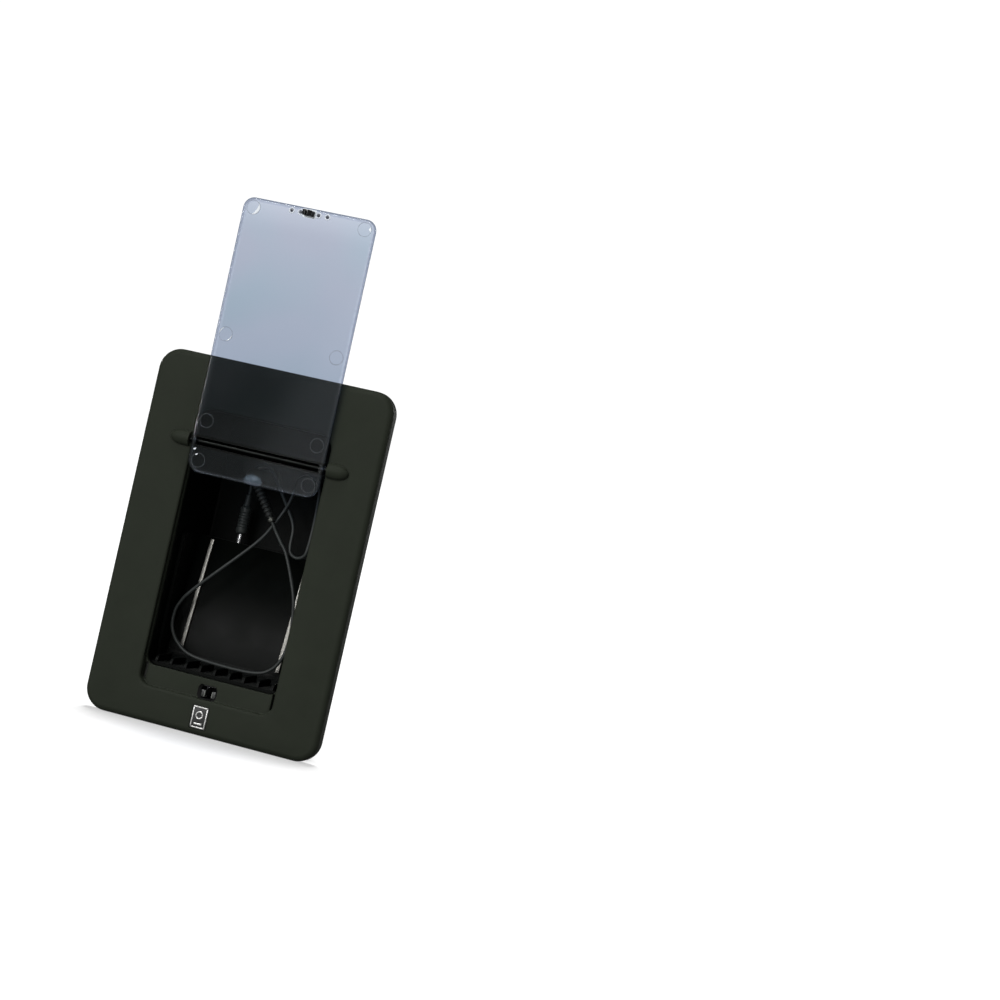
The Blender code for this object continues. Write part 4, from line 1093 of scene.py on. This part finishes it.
def thread(radius, depth, pitch, low, high, steps=24):
    """A threaded rod from low to high along +Z, its flanks, crest and root wound round it."""
    offsets = [0.0, -depth, -depth, 0.0]
    per_turn = len(offsets)
    count = int((high - low) / pitch * per_turn)
    rings = []
    for k in range(count + 1):
        ring = []
        for i in range(steps):
            share = (k + i * per_turn / steps) % per_turn
            index = int(share)
            blend = share - index
            r = radius + offsets[index] * (1 - blend) + offsets[(index + 1) % per_turn] * blend
            a = -2 * pi * i / steps
            ring.append((r * cos(a), r * sin(a), low + (high - low) * k / count))
        rings.append(ring)
    return loft(rings)


def hex_nut(node, centre, radius, bore):
    """A hexagonal nut in a CAD nut's place along Y, chamfered on both faces."""
    low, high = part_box(node)
    thickness = high.y - low.y
    edge = arc(centre, radius, 0, 300, 5)
    nut = loft([upright(edge, 0), upright(edge, thickness)])
    cone, flat = radius * 1.02, radius * 0.88
    cap = [
        (0, thickness), (flat, thickness), (cone, thickness * 0.84),
        (cone, thickness * 0.16), (flat, 0), (0, 0),
    ]
    middle = (centre[0], 0, centre[1])
    carve(nut, [lathe(cap, pointing(middle, BACK), 48)], "INTERSECT")
    carve(nut, [cylinder(middle, BACK, bore, -0.01, 0.01, 32)])
    nut.data.transform(Matrix.Translation((0, low.y, 0)))
    return smooth(nut, 30)


def make_gland():
    place = pointing(GLAND, BACK)
    back = TUB_BACK - GLAND.y
    end = back + 0.016
    turns = [radians(a) for a in range(90, 5, -12)]
    ball = [(0.0045 * sin(a), -0.0045 * cos(a)) for a in turns]
    profile = [
        (0.0028, end - 0.006), (0.0028, end), (0.0037, end), (0.004, end - 0.0004),
        (0.004, back - 0.0006), (0.0066, back - 0.0006), (0.0066, back - 0.0022),
        (0.0063, back - 0.0026), (0.0045, back - 0.0030),
    ]
    head = lathe(profile + ball + [(0, -0.0045)], place, 48)
    winding = thread(0.0042, 0.0004, 0.0012, back + 0.0016, end - 0.0008, 32)
    winding.data.transform(place)
    gland = smooth(joined([head, winding]), 35)
    place_piece(gland, "gland_body", "tub_plastic", node="lead_gland")
    nut = hex_nut("gland_nut", (GLAND.x, GLAND.z), 0.0072, 0.0043)
    place_piece(nut, "gland_hex_nut", "tub_plastic", node="gland_nut")
    low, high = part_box("output_socket")
    bore, rim = 0.0018, 0.0027
    ring = [(bore, low.y + 0.0005), (bore, high.y), (0.0025, high.y)]
    ring += [(rim, high.y - 0.0003), (rim, low.y), (bore, low.y)]
    sleeve = lathe(ring, pointing((GLAND.x, 0, GLAND.z), BACK))
    place_piece(smooth(sleeve), "output_sleeve", "steel", node="output_socket")


def make_peg():
    low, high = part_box("lead_hook")
    length = high.y - low.y
    core, flange = 0.0035, 0.0062
    profile = [
        (0, length), (flange, length), (flange, length - 0.0018), (core, length - 0.003),
        (core, 0.0022), (flange, 0.0014), (flange, 0.0005), (0.0055, 0.0), (0, 0),
    ]
    centre = (low + high) / 2
    peg = lathe(filleted(profile, 0.0004), pointing((centre.x, low.y, centre.z), BACK), 48)
    place_piece(smooth(peg, 40), "lead_peg", "tub_plastic", node="lead_hook")


# ---- fasteners


def screw_piece(spot, out, length):
    """A pan-head screw with a cross recess and a threaded shank."""
    radius, head, height = 0.0011, 0.0022, 0.0015
    half, width = 0.0012, 0.00028
    dome = [(0, height), (head * 0.45, height * 0.97), (head * 0.8, height * 0.78)]
    body = lathe(filleted(dome + [(head, height * 0.4), (head, 0), (0, 0)], 0.0003), None, 32)
    slots = []
    for turn in (0, 90):
        slot = box_piece((-half, -width, height * 0.35), (half, width, height * 2), 0)
        slot.data.transform(Matrix.Rotation(radians(turn), 4, "Z"))
        slots.append(slot)
    carve(body, slots)
    shank = thread(radius, 0.00025, 0.0008, -length, 0.0001, 20)
    piece = joined([body, shank])
    piece.data.transform(pointing(spot, out))
    return smooth(piece, 35)


def make_screws():
    screws = []
    for k, (x, z) in enumerate(TUB_SCREWS):
        screws.append((f"tub_screw_{k + 1}", (x, GAP, z), BACK, 0.0061))
    for k, (x, z) in enumerate(EAR_SCREWS):
        screws.append((f"latch_screw_{k + 1}", (x, 2 * GAP + 0.0015, z), BACK, 0.0078))
    for k, side in enumerate((-1, 1)):
        spot = (side * CRADLE_SCREW_X, CRADLE_SCREW_Y, LEDGE_TOP - WALL - GAP)
        screws.append((f"cradle_screw_{k + 1}", spot, (0, 0, -1), 0.0042))
    screws.append(("hook_screw", (PEG_X, TUB_BACK + WALL + GAP, PEG_Z), BACK, 0.0095))
    for node, spot, out, length in screws:
        place_piece(screw_piece(spot, out, length), node + "_body", "steel", node=node)


def make_studs():
    """The M4 studs with their threads, washers and nuts."""
    for k, (x, z) in enumerate(STUD_SPOTS):
        place = pointing((x, 0, z), BACK)
        node = f"mount_stud_{k + 1}"
        low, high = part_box(node)
        stud = thread(0.002, 0.0003, 0.0007, low.y, high.y)
        stud.data.transform(place)
        place_piece(smooth(stud, 40), node + "_thread", "steel", node=node)
        node = f"mount_washer_{k + 1}"
        low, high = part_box(node)
        section = [
            (STUD_HOLE, low.y), (0.0043, low.y), (0.0045, low.y + 0.0002),
            (0.0045, high.y - 0.0002), (0.0043, high.y), (STUD_HOLE, high.y),
        ]
        washer = turned_ring(section, place)
        place_piece(smooth(washer, 30), node + "_ring", "steel", node=node)
        node = f"mount_nut_{k + 1}"
        nut = hex_nut(node, (x, z), 0.00404, STUD_HOLE)
        place_piece(nut, node + "_hex", "steel", node=node)


# ---- stage


def camera_mix(tree, others, camera):
    """One shader for the camera's own view, and another for what lights and mirrors see."""
    rays = tree.nodes.new("ShaderNodeLightPath")
    mix = tree.nodes.new("ShaderNodeMixShader")
    tree.links.new(rays.outputs["Is Camera Ray"], mix.inputs["Fac"])
    tree.links.new(others, mix.inputs[1])
    tree.links.new(camera, mix.inputs[2])
    return mix.outputs["Shader"]


def make_world():
    """A white surround to look at, dim to what it lights."""
    world = bpy.context.scene.world or bpy.data.worlds.new("world")
    bpy.context.scene.world = world
    world.use_nodes = True
    tree = world.node_tree
    tree.nodes.clear()
    output = tree.nodes.new("ShaderNodeOutputWorld")
    shades = []
    for strength in (0.18, 1.05):
        shade = tree.nodes.new("ShaderNodeBackground")
        shade.inputs["Color"].default_value = (1, 1, 1, 1)
        shade.inputs["Strength"].default_value = strength
        shades.append(shade.outputs["Background"])
    tree.links.new(camera_mix(tree, *shades), output.inputs["Surface"])


def make_floor():
    """White paper at the bezel's foot, kept from lighting the object from below."""
    bm = bmesh.new()
    bmesh.ops.create_grid(bm, x_segments=4, y_segments=4, size=12.0)
    floor = mesh_of(bm)
    floor.name = "floor"
    floor.location = (0, 0, CAD_LOW.z - 0.0002)
    n = Nodes("floor_paper")
    n.paint(n.ramp(n.noise(0.4), (0.5, 0.5, 0.5), (0.52, 0.52, 0.52)))
    n.finish(Roughness=1.0, Specular_IOR_Level=0.0)
    n.finish(Emission_Color=(1, 1, 1, 1), Emission_Strength=0.45)
    dim = n.add("BsdfDiffuse")
    dim.inputs["Color"].default_value = (0.22, 0.22, 0.22, 1)
    paper = camera_mix(n.tree, dim.outputs["BSDF"], n.shader.outputs["BSDF"])
    n.link(paper, n.output.inputs["Surface"])
    floor.data.materials.append(MATERIALS["floor_paper"])
    return floor


def group(name, objects):
    """A collection that limits which objects a light falls on."""
    found = bpy.data.collections.new(name)
    for obj in objects:
        found.objects.link(obj)
    return found


def make_sun(name, strength, spread, azimuth, elevation, lit):
    data = bpy.data.lights.new(name, "SUN")
    data.energy = strength
    data.cycles.use_multiple_importance_sampling = False
    data.angle = radians(spread)
    sun = new_object(name, data)
    sun.rotation_euler = towards(azimuth, elevation).to_track_quat("Z", "Y").to_euler()
    if lit:
        sun.light_linking.receiver_collection = lit


def make_stage():
    """Soft lights in front and behind, and a card that the door mirrors."""
    make_world()
    floor = make_floor()
    floor.visible_glossy = False
    meshes = [obj for obj in bpy.data.objects if obj.type == "MESH" and obj is not floor]
    on_floor, on_meshes = group("floor_only", [floor]), group("all_but_floor", meshes)
    for name, strength, spread, azimuth, elevation, lit in (
        ("key", 1.47, 30, -14, 25, None),
        ("left", 0.8, 24, -38, 5, None),
        ("right", 0.25, 16, 12, 2, None),
        ("glint", 0.1, 5, -48, 38, None),
        ("above", 3.3, 14, -167, 83, on_floor),
        ("behind", 0.7, 30, 152, 8, on_meshes),
        ("behind", 0.7, 30, -142, 8, on_meshes),
        ("overhead", 1.2, 20, -20, 74, on_meshes),
    ):
        make_sun(name, strength, spread, azimuth, elevation, lit)

    data = bpy.data.lights.new("card", "AREA")
    data.shape = "RECTANGLE"
    data.size, data.size_y = 0.12, 0.5
    data.energy = 0.35 * pi * data.size * data.size_y
    data.cycles.use_multiple_importance_sampling = False
    card = new_object("card", data)
    card.visible_camera = False
    lean = Matrix.Rotation(radians(18), 4, "Y")
    face = Matrix.Rotation(radians(90), 4, "X")
    card.matrix_world = Matrix.Translation((-0.196, -0.8, 0.09)) @ lean @ face
    bpy.context.scene.view_settings.view_transform = "Standard"


make_camera()
make_materials()
declare_lead()
make_bezel()
make_gasket()
make_badge()
make_tub()
make_hinge()
make_door()
make_latch_hook()
make_latch()
make_cradle()
make_rails()
make_gland()
make_peg()
make_screws()
make_studs()
make_stage()
